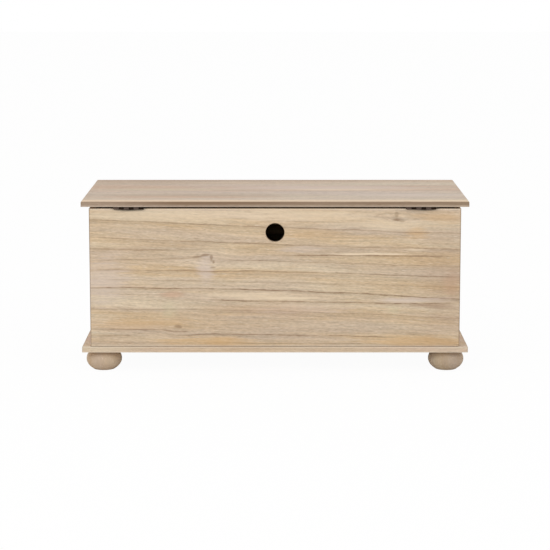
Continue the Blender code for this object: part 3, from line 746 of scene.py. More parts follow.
class Figure:
    """A board's own tints, growth lines and knots over the common grain."""

    # How far the grain bends round a knot: along the board, across it and through it
    eye_reach = (0.045, 0.024, 1.0)

    def __init__(self, wood, half, tints, lines=(), knots=(), eyes=()):
        self.wood = wood
        self.half = half
        self.tints = tints
        self.lines = lines
        self.knots = knots
        self.eyes = eyes

    def place(self, along, height):
        return (along * MILLIMETRE, height * MILLIMETRE - self.half.y, 0.0)

    def bend_round_knots(self, tree, place):
        bend = shared_tree("knot_bend", knot_bend_tree)
        for eye in self.eyes:
            values = {"Place": place, "Knot": self.place(*eye), "Reach": self.eye_reach}
            place = add(tree, "ShaderNodeGroup", named=values, node_tree=bend)
        return place

    def tint(self, tree, colour, place, fray, spot, tint):
        along, height, length, rise, strength = spot
        values = {
            "Color": colour,
            "Place": place,
            "Fray": fray,
            "Middle": self.place(along, height),
            "Reach": (length * MILLIMETRE, rise * MILLIMETRE, 1.0),
            "Strength": strength,
            "Tint": opaque(tint),
        }
        soft_spot = shared_tree("soft_spot", soft_spot_tree)
        return add(tree, "ShaderNodeGroup", named=values, node_tree=soft_spot)

    def growth_lines(self, tree, place):
        """How dark the growth lines are. Each bows through its left, middle and right heights."""
        growth_line = shared_tree("growth_line", growth_line_tree)
        lines = 0.0
        for left, middle, right, width, strength, start, stop in self.lines:
            values = {
                "Lines": lines,
                "Place": place,
                "Height": middle * MILLIMETRE - self.half.y,
                "Slope": (right - left) / 2 * MILLIMETRE / self.half.x,
                "Bow": ((right + left) / 2 - middle) * MILLIMETRE / self.half.x**2,
                "Half Width": width * MILLIMETRE,
                "Strength": strength,
                "Start": start * MILLIMETRE,
                "Stop": stop * MILLIMETRE,
            }
            lines = add(tree, "ShaderNodeGroup", named=values, node_tree=growth_line)
        return lines

    def draw(self, tree, bent, colour):
        """Lays tints on a wavy grain, then the growth lines, broken in places, then the knots."""
        wave = drawn_noise(tree, bent, (9.0, 24.0, 24.0), 4.0).outputs["Color"]
        centred = add(tree, VECTOR, wave, (0.5, 0.5, 0.5), operation="SUBTRACT")
        shift = add(tree, VECTOR, centred, (0.02, 0.008, 0.0), operation="MULTIPLY")
        wavy = add(tree, VECTOR, bent, shift, operation="ADD")
        fray_noise = drawn_noise(tree, bent, (12.0, 140.0, 140.0), 3.0)
        fray = add(tree, RANGE, fray_noise, 0.0, 1.0, -0.9, 0.9)
        for *spot, tint in self.tints:
            colour = self.tint(tree, colour, wavy, fray, spot, getattr(self.wood, tint))
        if self.lines:
            gap_noise = drawn_noise(tree, bent, (60.0, 330.0, 330.0), 2.0)
            uneven = add(tree, RANGE, fray_noise, 0.34, 0.56, 0.55, 1.0)
            broken = add(tree, RANGE, gap_noise, 0.36, 0.58, 0.5, 1.0)
            dark = self.growth_lines(tree, wavy)
            for share in (uneven, broken):
                dark = add(tree, "MULTIPLY", dark, share)
            colour = add(tree, MIX, dark, colour, opaque(self.wood.line), data_type="RGBA")
        for knot in self.knots:
            colour = self.tint(tree, colour, bent, fray, knot, self.wood.line)
        return colour


class PanelFigure(Figure):
    """A panel's figure, with dust and painted shade in the joints at its lower edge and its ends.
    """

    dark_joint_ends = True

    # The dust and painted shade lie thick up to 1 mm from a joint and end at 2.6 mm
    joint_dark_near = 0.0010
    joint_dark_far = 0.0026
    joint_dark_share = 0.55

    def draw(self, tree, bent, colour):
        colour = super().draw(tree, bent, colour)
        along, up, deep = add(tree, SPLIT, bent).outputs
        nearest = add(tree, "ADD", up, self.half.y)
        if self.dark_joint_ends:
            inwards = add(tree, "ABSOLUTE", along)
            from_end = add(tree, "SUBTRACT", self.half.x, inwards)
            nearest = add(tree, "MINIMUM", from_end, nearest)
        # Dust and painted shade along the joints
        joint = add(tree, RANGE, nearest, self.joint_dark_far, self.joint_dark_near, 0.0, self.joint_dark_share)
        from_middle = add(tree, "ABSOLUTE", deep)
        face = self.half.z - MILLIMETRE
        on_face = add(tree, "GREATER_THAN", from_middle, face)
        dust_and_shade = add(tree, "MULTIPLY", joint, on_face)
        return add(tree, MIX, dust_and_shade, colour, opaque(self.wood.dust_and_shade), data_type="RGBA")


class FrontFigure(PanelFigure):
    """The front panel's figure. Its ends lie over the side panels, so no joint shows there."""

    dark_joint_ends = False


class BackFigure(PanelFigure):
    """The back panel's figure, with a painted shadow under each hinge barrel."""

    # How far down the painted shadow under a hinge reaches, in millimetres, and how strong it is
    shadow_rise = 8.0
    shadow_share = 0.95

    def draw(self, tree, bent, colour):
        colour = super().draw(tree, bent, colour)
        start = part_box("back_panel")[0].x + self.half.x
        height = 2 * self.half.y / MILLIMETRE
        for side in SIDES:
            low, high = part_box(f"hinge_pin_{side}")
            middle = ((low.x + high.x) / 2 - start) / MILLIMETRE
            reach = 0.6 * (high.x - low.x) / MILLIMETRE
            spot = (middle, height, reach, self.shadow_rise, self.shadow_share)
            # Painted shadow under the hinge's barrel
            colour = self.tint(tree, colour, bent, 0.0, spot, self.wood.hinge_shadow)
        return colour


# The boards that have a figure of their own
FIGURES = {
    "back_panel": (BackFigure, BACK_TINTS, BACK_LINES, BACK_KNOTS, BACK_EYES),
    "front_panel": (FrontFigure, FRONT_TINTS, FRONT_LINES, FRONT_KNOTS, FRONT_EYES),
    "side_panel_left": (PanelFigure, LEFT_TINTS, LEFT_LINES),
    "side_panel_right": (PanelFigure, RIGHT_TINTS, RIGHT_LINES),
    "lid_board": (Figure, LID_TINTS),
}

# Boards: the axes that the grain and the face's width lie along, the tone, the seed, the fall of
# the grain across the board's length, the tree's heart across from the middle and below the face
BOARDS = {
    "lid_board": ("X", "Y", "lid", 1.0, 0.01, 0.62, 0.10),
    "base_board": ("X", "Y", "base", 2.0, 0.00, -0.55, 0.12),
    "back_panel": ("X", "Z", "panel", 3.0, 0.035, -0.46, 0.09),
    "front_panel": ("X", "Z", "panel", 4.0, -0.02, 0.40, 0.08),
    "side_panel_left": ("Y", "Z", "panel", 5.0, 0.02, -0.35, 0.07),
    "side_panel_right": ("Y", "Z", "panel", 6.0, -0.03, 0.33, 0.08),
    "lid_cleat_left": ("Y", "X", "panel", 7.0, 0.02, -0.12, 0.05),
    "lid_cleat_right": ("Y", "X", "panel", 8.0, -0.02, 0.14, 0.06),
    "corner_block_back_left": ("Z", "X", "panel", 9.0, 0.01, 0.20, 0.05),
    "corner_block_back_right": ("Z", "X", "panel", 10.0, 0.01, 0.20, 0.05),
    "corner_block_front_left": ("Z", "X", "panel", 11.0, 0.01, 0.20, 0.05),
    "corner_block_front_right": ("Z", "X", "panel", 12.0, 0.01, 0.20, 0.05),
}

# The colours that the bands of a board are mixed from
GROUND_COLOURS = ("Pale", "Warm", "Cool")

# By tone: how dark the growth lines are, how strong the streaks, how wide the bands, how far in
# the corners are rubbed, how brown the edges are (on the panels, painted shade in the gap under the
# lid), where along the board the brown starts, how far in it reaches, and how wide the painted
# highlight is along the hinged edge. Lengths are in metres
TONE_VALUES = ("Figure", "Contrast", "Band Width", "Rub Width")
TONE_VALUES += ("Edge Brown And Shade", "Edge Start", "Edge Reach", "Highlight Width")
TONES = {
    "lid": (0.25, 0.84, 0.090, 0.0015, 1.08, -0.42, 0.0016, 0.042),
    "base": (0.30, 0.45, 0.040, 0.003, 0.20, -1.0, 0.001, 0.0),
    "panel": (0.30, 0.66, 0.034, 0.006, 0.80, -1.0, 0.0004, 0.0),
    "foot": (0.25, 0.20, 0.050, 0.003, 0.0, -1.0, 0.001, 0.0),
}


def grain_values(wood, tone, seed, slope, across, below, shade=1.0):
    return {
        **dict(zip(TONE_VALUES, TONES[tone])),
        "Seed": seed,
        "Slope": slope,
        "Heart Across": across,
        "Heart Below": below,
        "Tone": shade,
        **{label: opaque(getattr(wood, f"{tone}_{label.lower()}")) for label in GROUND_COLOURS},
    }


class CHEST_OT_boards(bpy.types.Operator):
    """Gives each board washed wood whose grain runs its own way"""

    bl_idname = "chest.boards"
    bl_label = "Boards"

    def execute(self, context):
        wood = context.scene.chest_wood
        grain = shared_tree("washed_wood_grain", grain_tree, wood)
        for node, (along, across, tone, *growth) in BOARDS.items():
            low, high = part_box(node)
            size = board_turn(along, across).to_matrix() @ (high - low)
            half = Vector(abs(length) / 2 for length in size)
            if node.startswith("corner_block"):
                half = Vector((half.x, 1.0, 1.0))
            figure = None
            if node in FIGURES:
                kind, *features = FIGURES[node]
                figure = kind(wood, half, *features)
            values = grain_values(wood, tone, *growth)
            centre = (low + high) / 2
            material = washed_wood(node, centre, half, along, across, grain, values, figure)
            set_finish(frame["nodes"][node], material)
        return {"FINISHED"}


# Metal and rubber


def plated_metal(name, dark, light, roughness, mottle_size, mottle_reach, glance=(1, 1, 1)):
    """Plated steel: an even metal whose plating is mottled and brushed a little along X.

    A dark plating reflects less than a bright one at a glance along it.
    """
    material, tree, shader = new_material(name)
    place = add(tree, "ShaderNodeTexCoord").outputs["Object"]
    mottle = add(tree, NOISE, place, 1 / mottle_size, 4.0, 0.6)
    spread = add(tree, RANGE, mottle, 0.5 - mottle_reach, 0.5 + mottle_reach)
    brushed = drawn_noise(tree, place, (60.0, 2500.0, 2500.0), 2.0)
    scratches = {"Strength": 0.15, "Distance": 0.00005, "Height": brushed}
    finish = {
        "Base Color": add(tree, MIX, spread, opaque(dark), opaque(light), data_type="RGBA"),
        "Roughness": add(tree, RANGE, brushed, 0.0, 1.0, roughness - 0.10, roughness + 0.10),
        "Normal": add(tree, "ShaderNodeBump", named=scratches),
        "Metallic": 1.0,
        "Specular Tint": opaque(glance),
    }
    wire_by_name(tree, shader, finish)
    return material


def moulded_rubber(name, colour):
    """Moulded rubber: matt, with a fine grain that breaks up the highlight."""
    material, tree, shader = new_material(name)
    place = add(tree, "ShaderNodeTexCoord").outputs["Object"]
    grit = add(tree, NOISE, place, 1400.0, 2.0)
    tone = add(tree, RANGE, grit, 0.0, 1.0, 0.7, 1.3)
    grains = {"Strength": 0.3, "Distance": 0.00006, "Height": grit}
    finish = {
        "Base Color": add(tree, VECTOR, colour, tone, operation="SCALE"),
        "Normal": add(tree, "ShaderNodeBump", named=grains),
        "Roughness": 0.78,
    }
    wire_by_name(tree, shader, finish)
    return material


def shared_material(name, make, *settings):
    """The material of this name, made the first time that it is asked for."""
    return bpy.data.materials.get(name) or make(name, *settings)


def bronzed_steel(metal):
    """Steel plated dark bronze and lacquered: nearly black, with a brown sheen where rubbed."""
    look = (metal.bronze, metal.bronze_rubbed, 0.42, 0.006, 0.25, (0.27, 0.22, 0.17))
    return shared_material("bronzed_steel", plated_metal, *look)


def brown_bronzed_steel(metal):
    """The same plating in a lighter brown, for the lid's leaves, whose knuckles show lighter than
    the body's and gleam a little on the knuckles.
    """
    look = (metal.brown, metal.brown_rubbed, 0.40, 0.006, 0.25, (0.38, 0.30, 0.23))
    return shared_material("brown_bronzed_steel", plated_metal, *look)


def zinc_plate(metal):
    """Bright zinc-plated steel: pale grey and satin, with dull clouds."""
    look = (metal.zinc_dull, metal.zinc, 0.36, 0.012, 0.20)
    return shared_material("zinc_plate", plated_metal, *look)


# Meshes


def new_object(name, data):
    """An object of this data, linked to the scene."""
    obj = bpy.data.objects.new(name, data)
    bpy.context.scene.collection.objects.link(obj)
    return obj


def shape_to_mesh(shape, mesh):
    """Ends an edit of a mesh."""
    shape.to_mesh(mesh)
    shape.free()


def evaluated_mesh(source, name):
    """The finished mesh of an object and its modifiers, which is then removed."""
    graph = bpy.context.evaluated_depsgraph_get()
    mesh = bpy.data.meshes.new_from_object(source.evaluated_get(graph))
    mesh.name = name
    source.modifiers.clear()
    bpy.data.objects.remove(source)
    return mesh


def grow(name, seed, tree, values):
    """Runs a geometry tree on a mesh and gives its result as a plain mesh."""
    source = new_object(name, seed)
    modifier = source.modifiers.new(tree.name, "NODES")
    modifier.node_group = tree
    for item in tree.interface.items_tree:
        if item.in_out == "INPUT" and item.name in values:
            modifier[item.identifier] = values[item.name]
    return evaluated_mesh(source, name)


def add_piece(name, mesh, material, slot, body, *nodes, sharp_from):
    """Puts a finished mesh on its body in place of the frame's own solids."""
    obj = new_object(name, mesh)
    set_finish(obj, material)
    mesh.shade_smooth()
    mesh.set_sharp_from_angle(angle=math.radians(sharp_from))
    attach(obj, body)
    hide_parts(*nodes)


def centre_of(node):
    low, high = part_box(node)
    return (low + high) / 2


def arc(centre, radius, start, stop, steps):
    """Points on an arc, both ends included, between two angles in degrees."""
    turns = [math.radians(start + (stop - start) * i / steps) for i in range(steps + 1)]
    return [(centre[0] + radius * math.cos(t), centre[1] + radius * math.sin(t)) for t in turns]


def stadium(near, far, radius, steps):
    """A round-ended outline between two heights on an upright line."""
    return arc((0.0, near), radius, 0, 180, steps) + arc((0.0, far), radius, 180, 360, steps)


def headed_pin(low, high, shank, head):
    """Half the outline of a pin, from the top of one domed head to the top of the other."""
    radius = (high.z - low.z) / 2
    half = (high.x - low.x) / 2 - head
    rim = head / 5
    steps = 8
    turns = [math.pi / 2 * i / steps for i in range(steps + 1)]
    upper = [(radius * math.sin(t), half + rim + (head - rim) * math.cos(t)) for t in turns]
    upper += [(radius, half), (shank, half)]
    return upper + [(r, -h) for r, h in reversed(upper)]


def turned(name, outline, facets, turn, at):
    """A mesh turned from half its outline, which runs down its outer side, and set in its place."""
    profile = bpy.data.meshes.new(name)
    edges = [(i, i + 1) for i in range(len(outline) - 1)]
    if outline[0][0] > 0:
        edges.append((len(outline) - 1, 0))
    profile.from_pydata([(radius, 0.0, height) for radius, height in outline], edges, [])
    source = new_object(name, profile)
    turning = source.modifiers.new("turning", "SCREW")
    turning.steps = facets
    turning.render_steps = facets
    turning.use_merge_vertices = True
    turning.merge_threshold = WELD
    mesh = evaluated_mesh(source, name)
    mesh.transform(Matrix.Translation(at) @ turn.to_matrix().to_4x4())
    return mesh


def add_turned(sizes, name, outline, turn, finish, slot, body, node, sharp_from=40):
    """A turned piece in its node's place: about the node's middle, or upright on its foot."""
    low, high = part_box(node)
    at = (low + high) / 2
    if turn is UPRIGHT:
        at.z = low.z
    mesh = turned(name, outline, sizes.facets, turn, at)
    add_piece(name, mesh, finish, slot, body, node, sharp_from=sharp_from)


def extruded(name, outline, depth, place):
    """A bar of this outline. The place turns its outline and its depth and sets it down."""
    shape = bmesh.new()
    corners = [shape.verts.new((x, y, -depth / 2)) for x, y in outline]
    face = shape.faces.new(corners)
    swept = bmesh.ops.extrude_face_region(shape, geom=[face])
    moved = [v for v in swept["geom"] if isinstance(v, bmesh.types.BMVert)]
    bmesh.ops.translate(shape, vec=(0.0, 0.0, depth), verts=moved)
    bmesh.ops.recalc_face_normals(shape, faces=shape.faces)
    mesh = bpy.data.meshes.new(name)
    shape_to_mesh(shape, mesh)
    mesh.transform(place)
    return mesh


def stamped(name, loops, thickness, edge, place):
    """A flat steel piece with rounded edges, from closed outlines of which the first is outside."""
    curve = bpy.data.curves.new(name, "CURVE")
    curve.dimensions = "2D"
    curve.fill_mode = "BOTH"
    curve.extrude = thickness / 2 - edge
    curve.bevel_depth = edge
    curve.bevel_resolution = 3
    curve.offset = -edge
    for loop in loops:
        spline = curve.splines.new("POLY")
        spline.points.add(len(loop) - 1)
        for point, (x, y) in zip(spline.points, loop):
            point.co = (x, y, 0.0, 1.0)
        spline.use_cyclic_u = True
    mesh = evaluated_mesh(new_object(name, curve), name)
    shape = bmesh.new()
    shape.from_mesh(mesh)
    bmesh.ops.remove_doubles(shape, verts=shape.verts, dist=WELD / 10)
    bmesh.ops.recalc_face_normals(shape, faces=shape.faces)
    shape_to_mesh(shape, mesh)
    mesh.transform(place)
    return mesh


# Parts of geometry trees


def row_of(tree, piece, count, first, step):
    """Real copies of a piece in a row along X."""
    line = {"Count": count, "Start Location": first, "Offset": add(tree, JOIN, step)}
    points = add(tree, "GeometryNodeMeshLine", named=line)
    copies = {"Points": points, "Instance": piece}
    row = add(tree, "GeometryNodeInstanceOnPoints", named=copies)
    return add(tree, "GeometryNodeRealizeInstances", row)


def cut(tree, piece, tools):
    """Cuts each tool out of a piece."""
    for tool in tools:
        meshes = {"Mesh 1": piece, "Mesh 2": tool}
        piece = add(tree, "GeometryNodeMeshBoolean", named=meshes, solver="EXACT")
    return piece


def end_tree(tree, piece, give, take):
    """Makes the copies real, gives the result its material and ends the tree."""
    real = add(tree, "GeometryNodeRealizeInstances", piece)
    finish = {"Geometry": real, "Material": give["Material"]}
    wire(tree, take["Geometry"], add(tree, "GeometryNodeSetMaterial", named=finish))
    return tree


# Feet

# Shares of a foot's rows from its sole up: where the sole ends, then its eased edge, then its side
SOLE_END = 0.06
EASE_END = 0.16
SIDE_END = 0.94


def bun_foot_tree():
    """A turned bun foot: a flattened ball, cut flat above and below, with its lower edge eased."""
    inputs = {
        **GEOMETRY,
        "Vector": ("Centre",),
        "Float": ("Height", "Diameter", "Belly Height", "Half Height", "Eased Edge"),
        "Int": ("Segments", "Rings"),
        "Material": ("Material",),
    }
    tree, give, take = new_tree("turned_bun_foot", "GeometryNodeTree", inputs, GEOMETRY)
    columns = add(tree, "ADD", give["Segments"], 1.0)
    rows = add(tree, "ADD", give["Rings"], 1.0)
    counts = {"Vertices X": columns, "Vertices Y": rows}
    grid = add(tree, "GeometryNodeMeshGrid", named=counts)
    around, up, _ = add(tree, SPLIT, grid.outputs["UV Map"]).outputs
    angle = add(tree, "MULTIPLY", around, math.tau)

    # The side follows an ellipse between the angles where the flats cut it
    limits = []
    for height in (give["Eased Edge"], give["Height"]):
        rise = add(tree, "SUBTRACT", height, give["Belly Height"])
        share = add(tree, "DIVIDE", rise, give["Half Height"])
        limits.append(add(tree, "ARCSINE", share))
    turn = add(tree, RANGE, up, EASE_END, SIDE_END, *limits)
    sine = add(tree, "SINE", turn)
    cosine = add(tree, "COSINE", turn)
    side_height = add(tree, "MULTIPLY_ADD", sine, give["Half Height"], give["Belly Height"])
    half_width = add(tree, "MULTIPLY", give["Diameter"], 0.5)
    side_radius = add(tree, "MULTIPLY", cosine, half_width)

    # The sole spreads from the middle, and a quarter round leads from it to the side
    spread = add(tree, RANGE, up, 0.0, SOLE_END)
    ease = add(tree, RANGE, up, SOLE_END, EASE_END, 0.0, math.pi / 2)
    ease_out = add(tree, "SINE", ease)
    ease_up = add(tree, "COSINE", ease)
    wide_ease = add(tree, "MULTIPLY", give["Eased Edge"], 2.0)
    sole_radius = add(tree, "SUBTRACT", side_radius, wide_ease)
    disc = add(tree, "MULTIPLY", sole_radius, spread)
    outer = add(tree, "MULTIPLY_ADD", ease_out, wide_ease, disc)
    drop = add(tree, "MULTIPLY", ease_up, give["Eased Edge"])
    height = add(tree, "SUBTRACT", side_height, drop)

    # The top closes in to the middle
    close = add(tree, RANGE, up, SIDE_END, 1.0, 1.0, 0.0)
    radius = add(tree, "MULTIPLY", outer, close)
    x = add(tree, "MULTIPLY", radius, add(tree, "COSINE", angle))
    y = add(tree, "MULTIPLY", radius, add(tree, "SINE", angle))
    point = add(tree, JOIN, x, y, height)
    placed = add(tree, VECTOR, point, give["Centre"], operation="ADD")
    shaped = add(tree, "GeometryNodeSetPosition", named={"Geometry": grid, "Position": placed})
    weld = {"Geometry": shaped, "Distance": WELD}
    return end_tree(tree, add(tree, "GeometryNodeMergeByDistance", named=weld), give, take)


class CHEST_OT_feet(bpy.types.Operator):
    """Turns the four bun feet"""

    bl_idname = "chest.feet"
    bl_label = "Bun Feet"

    # The grain's fall and the tree's heart below the middle, then by side how far across the heart
    # lies and how light the foot is
    slope = 0.05
    below = 0.03
    sides = {"left": (0.015, 1.0), "right": (-0.02, 0.845)}
    first_seed = 20

    def execute(self, context):
        wood = context.scene.chest_wood
        feet = context.scene.chest_feet
        grain = shared_tree("washed_wood_grain", grain_tree, wood)
        tree = shared_tree("turned_bun_foot", bun_foot_tree)
        for seed, (end, side) in enumerate(CORNERS, start=self.first_seed):
            node = f"foot_{end}_{side}"
            low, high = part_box(node)
            centre = (low + high) / 2
            heart, shade = self.sides[side]
            values = grain_values(wood, "foot", seed, self.slope, heart, self.below, shade)
            far = Vector((1.0, 1.0, 1.0))
            material = washed_wood(node, centre, far, "Z", "X", grain, values)
            shape = {
                "Centre": (centre.x, centre.y, low.z),
                "Height": high.z - low.z,
                "Diameter": high.x - low.x,
                "Belly Height": feet.belly,
                "Half Height": feet.half_height,
                "Eased Edge": feet.ease,
                "Segments": feet.segments,
                "Rings": feet.rings,
                "Material": material,
            }
            name = f"bun_{node}"
            mesh = grow(name, bpy.data.meshes.new("seed"), tree, shape)
            add_piece(name, mesh, material, "washed_wood", "carcass", node, sharp_from=40)
        return {"FINISHED"}


# Hinges

ALONG_CHEST = Euler((0.0, math.pi / 2, 0.0))
UPRIGHT = Euler((0.0, 0.0, 0.0))

# Turns an outline in X and Y to Y and Z, and its depth to X
SIDE_SECTION = Euler((math.pi / 2, 0.0, math.pi / 2)).to_matrix().to_4x4()


def joint_place(name):
    joints = frame["record"]["behaviour"]["joints"]
    return Vector(next(joint["pos_m"] for joint in joints if joint["name"] == name))


def hinge_leaf_tree():
    """A butt hinge leaf: notches for the other leaf's knuckles and countersinks for the screws."""
    inputs = {
        **GEOMETRY,
        "Int": ("Notches", "Screws", "Facets"),
        "Vector": ("Notch Size", "First Notch", "First Screw"),
        "Float": ("Notch Step", "Screw Step", "Sink Depth", "Upper Radius", "Lower Radius"),
        "Material": ("Material",),
    }
    tree, give, take = new_tree("butt_hinge_leaf", "GeometryNodeTree", inputs, GEOMETRY)
    notch = add(tree, "GeometryNodeMeshCube", give["Notch Size"])
    cone = {
        "Vertices": give["Facets"],
        "Radius Top": give["Upper Radius"],
        "Radius Bottom": give["Lower Radius"],
        "Depth": give["Sink Depth"],
    }
    sink = add(tree, "GeometryNodeMeshCone", named=cone)
    notches = row_of(tree, notch, give["Notches"], give["First Notch"], give["Notch Step"])
    sinks = row_of(tree, sink, give["Screws"], give["First Screw"], give["Screw Step"])
    return end_tree(tree, cut(tree, give["Geometry"], (notches, sinks)), give, take)


class CHEST_OT_hinges(bpy.types.Operator):
    """Rolls the four hinge leaves round their pins"""

    bl_idname = "chest.hinges"
    bl_label = "Hinges"

    knuckles = 6
    screws = 3

    def make_leaf(self, sizes, side, owner, turn, finish, body):
        """A leaf that runs over the pin (turn 1) or under it (-1)."""
        node = f"hinge_{owner}_leaf_{side}"
        low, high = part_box(node)
        axis = joint_place("lid_hinge")
        radius = axis.y - low.y
        bore = radius - sizes.leaf_thickness
        reach = high.y - axis.y
        stop = -90 - math.degrees(sizes.roll)
        steps = 3 * sizes.facets // 4
        outside = arc((0.0, 0.0), radius, -90, stop, steps)
        inside = arc((0.0, 0.0), bore, stop, -90, steps)
        section = [(reach, -radius), *outside, *inside, (reach, -bore)]
        outline = [(y, -turn * z) for y, z in section]
        middle = Vector(((low.x + high.x) / 2, axis.y, axis.z))
        width = high.x - low.x
        strip = extruded(node, outline, width, Matrix.Translation(middle) @ SIDE_SECTION)
        knuckle = width / self.knuckles
        notch = 2 * (radius + sizes.knuckle_gap) + sizes.notch_room
        first = 1 if turn < 0 else 0
        screw = centre_of(f"hinge_{owner}_screw_{side}_1")
        next_screw = centre_of(f"hinge_{owner}_screw_{side}_2")

        # The countersinks widen towards the screws' heads and pass through both faces of the leaf
        past = sizes.screw_room
        plate = axis.z - radius if turn < 0 else axis.z + bore
        wide, narrow = sizes.screw_head + 2 * past, sizes.screw_shank
        upper, lower = (wide, narrow) if turn < 0 else (narrow, wide)
        values = {
            "Notches": self.knuckles // 2,
            "Notch Size": (knuckle + sizes.knuckle_gap, notch, notch),
            "First Notch": (low.x + (first + 0.5) * knuckle, axis.y - sizes.notch_room / 2, axis.z),
            "Notch Step": 2 * knuckle,
            "Screws": self.screws,
            "First Screw": (screw.x, screw.y, plate - past),
            "Screw Step": next_screw.x - screw.x,
            "Sink Depth": sizes.leaf_thickness + 2 * past,
            "Upper Radius": upper,
            "Lower Radius": lower,
            "Facets": sizes.facets,
            "Material": finish,
        }
        tree = shared_tree("butt_hinge_leaf", hinge_leaf_tree)
        mesh = grow(f"rolled_{node}", strip, tree, values)
        add_piece(f"rolled_{node}", mesh, finish, "bronzed_steel", body, node, sharp_from=30)

    def execute(self, context):
        sizes = context.scene.chest_fittings
        dark = bronzed_steel(context.scene.chest_metal)
        brown = brown_bronzed_steel(context.scene.chest_metal)
        for side in SIDES:
            self.make_leaf(sizes, side, "body", -1, dark, "carcass")
            self.make_leaf(sizes, side, "lid", 1, brown, "lid")
            node = f"hinge_pin_{side}"
            pin = headed_pin(*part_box(node), sizes.pin_radius, sizes.pin_head)
            place = (ALONG_CHEST, dark, "bronzed_steel", "carcass", node)
            add_turned(sizes, f"turned_{node}", pin, *place)
        return {"FINISHED"}


# Screws


def screw_tree():
    """Countersunk screws: one gets a cross recess, and each point gets a copy, turned its way."""
    inputs = {
        **GEOMETRY,
        "Object": ("Screw",),
        "Float": ("Recess Length", "Recess Width", "Recess Depth"),
        "Int": ("Seed",),
        "Material": ("Material",),
    }
    tree, give, take = new_tree("cross_recess_screws", "GeometryNodeTree", inputs, GEOMETRY)
    plain = add(tree, "GeometryNodeObjectInfo", give["Screw"]).outputs["Geometry"]
    twice = add(tree, "MULTIPLY", give["Recess Depth"], 2.0)
    size = add(tree, JOIN, give["Recess Length"], give["Recess Width"], twice)
    blade = add(tree, "GeometryNodeMeshCube", size)
    quarter_turn = {"Geometry": blade, "Rotation": (0.0, 0.0, math.pi / 2)}
    crossing = add(tree, "GeometryNodeTransform", named=quarter_turn)
    facing = add(tree, "GeometryNodeInputNamedAttribute", "facing", data_type="FLOAT_VECTOR")
    upright = add(tree, "FunctionNodeAlignRotationToVector", named={"Vector": facing}, axis="Z")
    half_turn = {"Min": 0.0, "Max": math.pi, "Seed": give["Seed"]}
    angle = add(tree, "FunctionNodeRandomValue", named=half_turn, data_type="FLOAT")
    spin = add(tree, "FunctionNodeAxisAngleToRotation", (0.0, 0.0, 1.0), angle)
    driven = add(tree, "FunctionNodeRotateRotation", upright, spin, rotation_space="LOCAL")
    screw = cut(tree, plain, (blade, crossing))
    copies = {"Points": give["Geometry"], "Instance": screw, "Rotation": driven}
    return end_tree(tree, add(tree, "GeometryNodeInstanceOnPoints", named=copies), give, take)


# Groups of like screws: the body that they ride on, their slot, how their names end, and the way
# that those on the left face. Those on the right face the other way along X
SCREWS = {
    "hinge_body_screws": ("carcass", "bronzed_steel", (1, 2, 3), (0, 0, 1)),
    "hinge_lid_screws": ("lid", "bronzed_steel", (1, 2, 3), (0, 0, -1)),
    "stay_plate_screws": ("carcass", "zinc_steel", ("upper", "lower"), (1, 0, 0)),
    "stay_bracket_screws": ("lid", "zinc_steel", ENDS, (0, 0, -1)),
}


class CHEST_OT_screws(bpy.types.Operator):
    """Drives the screws of the hinges and the stays"""

    bl_idname = "chest.screws"
    bl_label = "Screws"

    def plain_screw(self, sizes, length):
        """A screw before its recess is cut: a countersunk head, a shank and a point."""
        head = sizes.screw_head
        shank = sizes.screw_shank
        cone = head - shank
        bevel = cone / 8
        outline = [(0.0, 0.0), (head - bevel, 0.0), (head, -bevel), (shank, -cone)]
        outline += [(shank, sizes.screw_point - length), (0.0, -length)]
        mesh = turned("plain_screw", outline, sizes.facets, UPRIGHT, (0.0, 0.0, 0.0))
        return new_object("plain_screw", mesh)

    def execute(self, context):
        sizes = context.scene.chest_fittings
        metal = context.scene.chest_metal
        tree = shared_tree("cross_recess_screws", screw_tree)
        finishes = {"bronzed_steel": bronzed_steel(metal), "zinc_steel": zinc_plate(metal)}
        for seed, (name, (body, slot, endings, (x, y, z))) in enumerate(SCREWS.items()):
            screws = {
                f"{name[:-1]}_{side}_{ending}": (inwards * x, y, z)
                for side, inwards in zip(SIDES, (1, -1))
                for ending in endings
            }
            heads = []
            for node, facing in screws.items():
                low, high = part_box(node)
                reach = Vector(facing) * (high - low) / 2
                heads.append((low + high) / 2 + reach)
            points = bpy.data.meshes.new(name)
            points.from_pydata(heads, [], [])
            ways = points.attributes.new("facing", "FLOAT_VECTOR", "POINT")
            for value, facing in zip(ways.data, screws.values()):
                value.vector = facing
            plain = self.plain_screw(sizes, 2 * reach.length)
            values = {
                "Screw": plain,
                "Recess Length": sizes.recess_length,
                "Recess Width": sizes.recess_width,
                "Recess Depth": sizes.recess_depth,
                "Seed": seed,
                "Material": finishes[slot],
            }
            mesh = grow(name, points, tree, values)
            bpy.data.objects.remove(plain)
            add_piece(name, mesh, finishes[slot], slot, body, *screws, sharp_from=30)
        return {"FINISHED"}


# Stays, bumpers and foot bolts


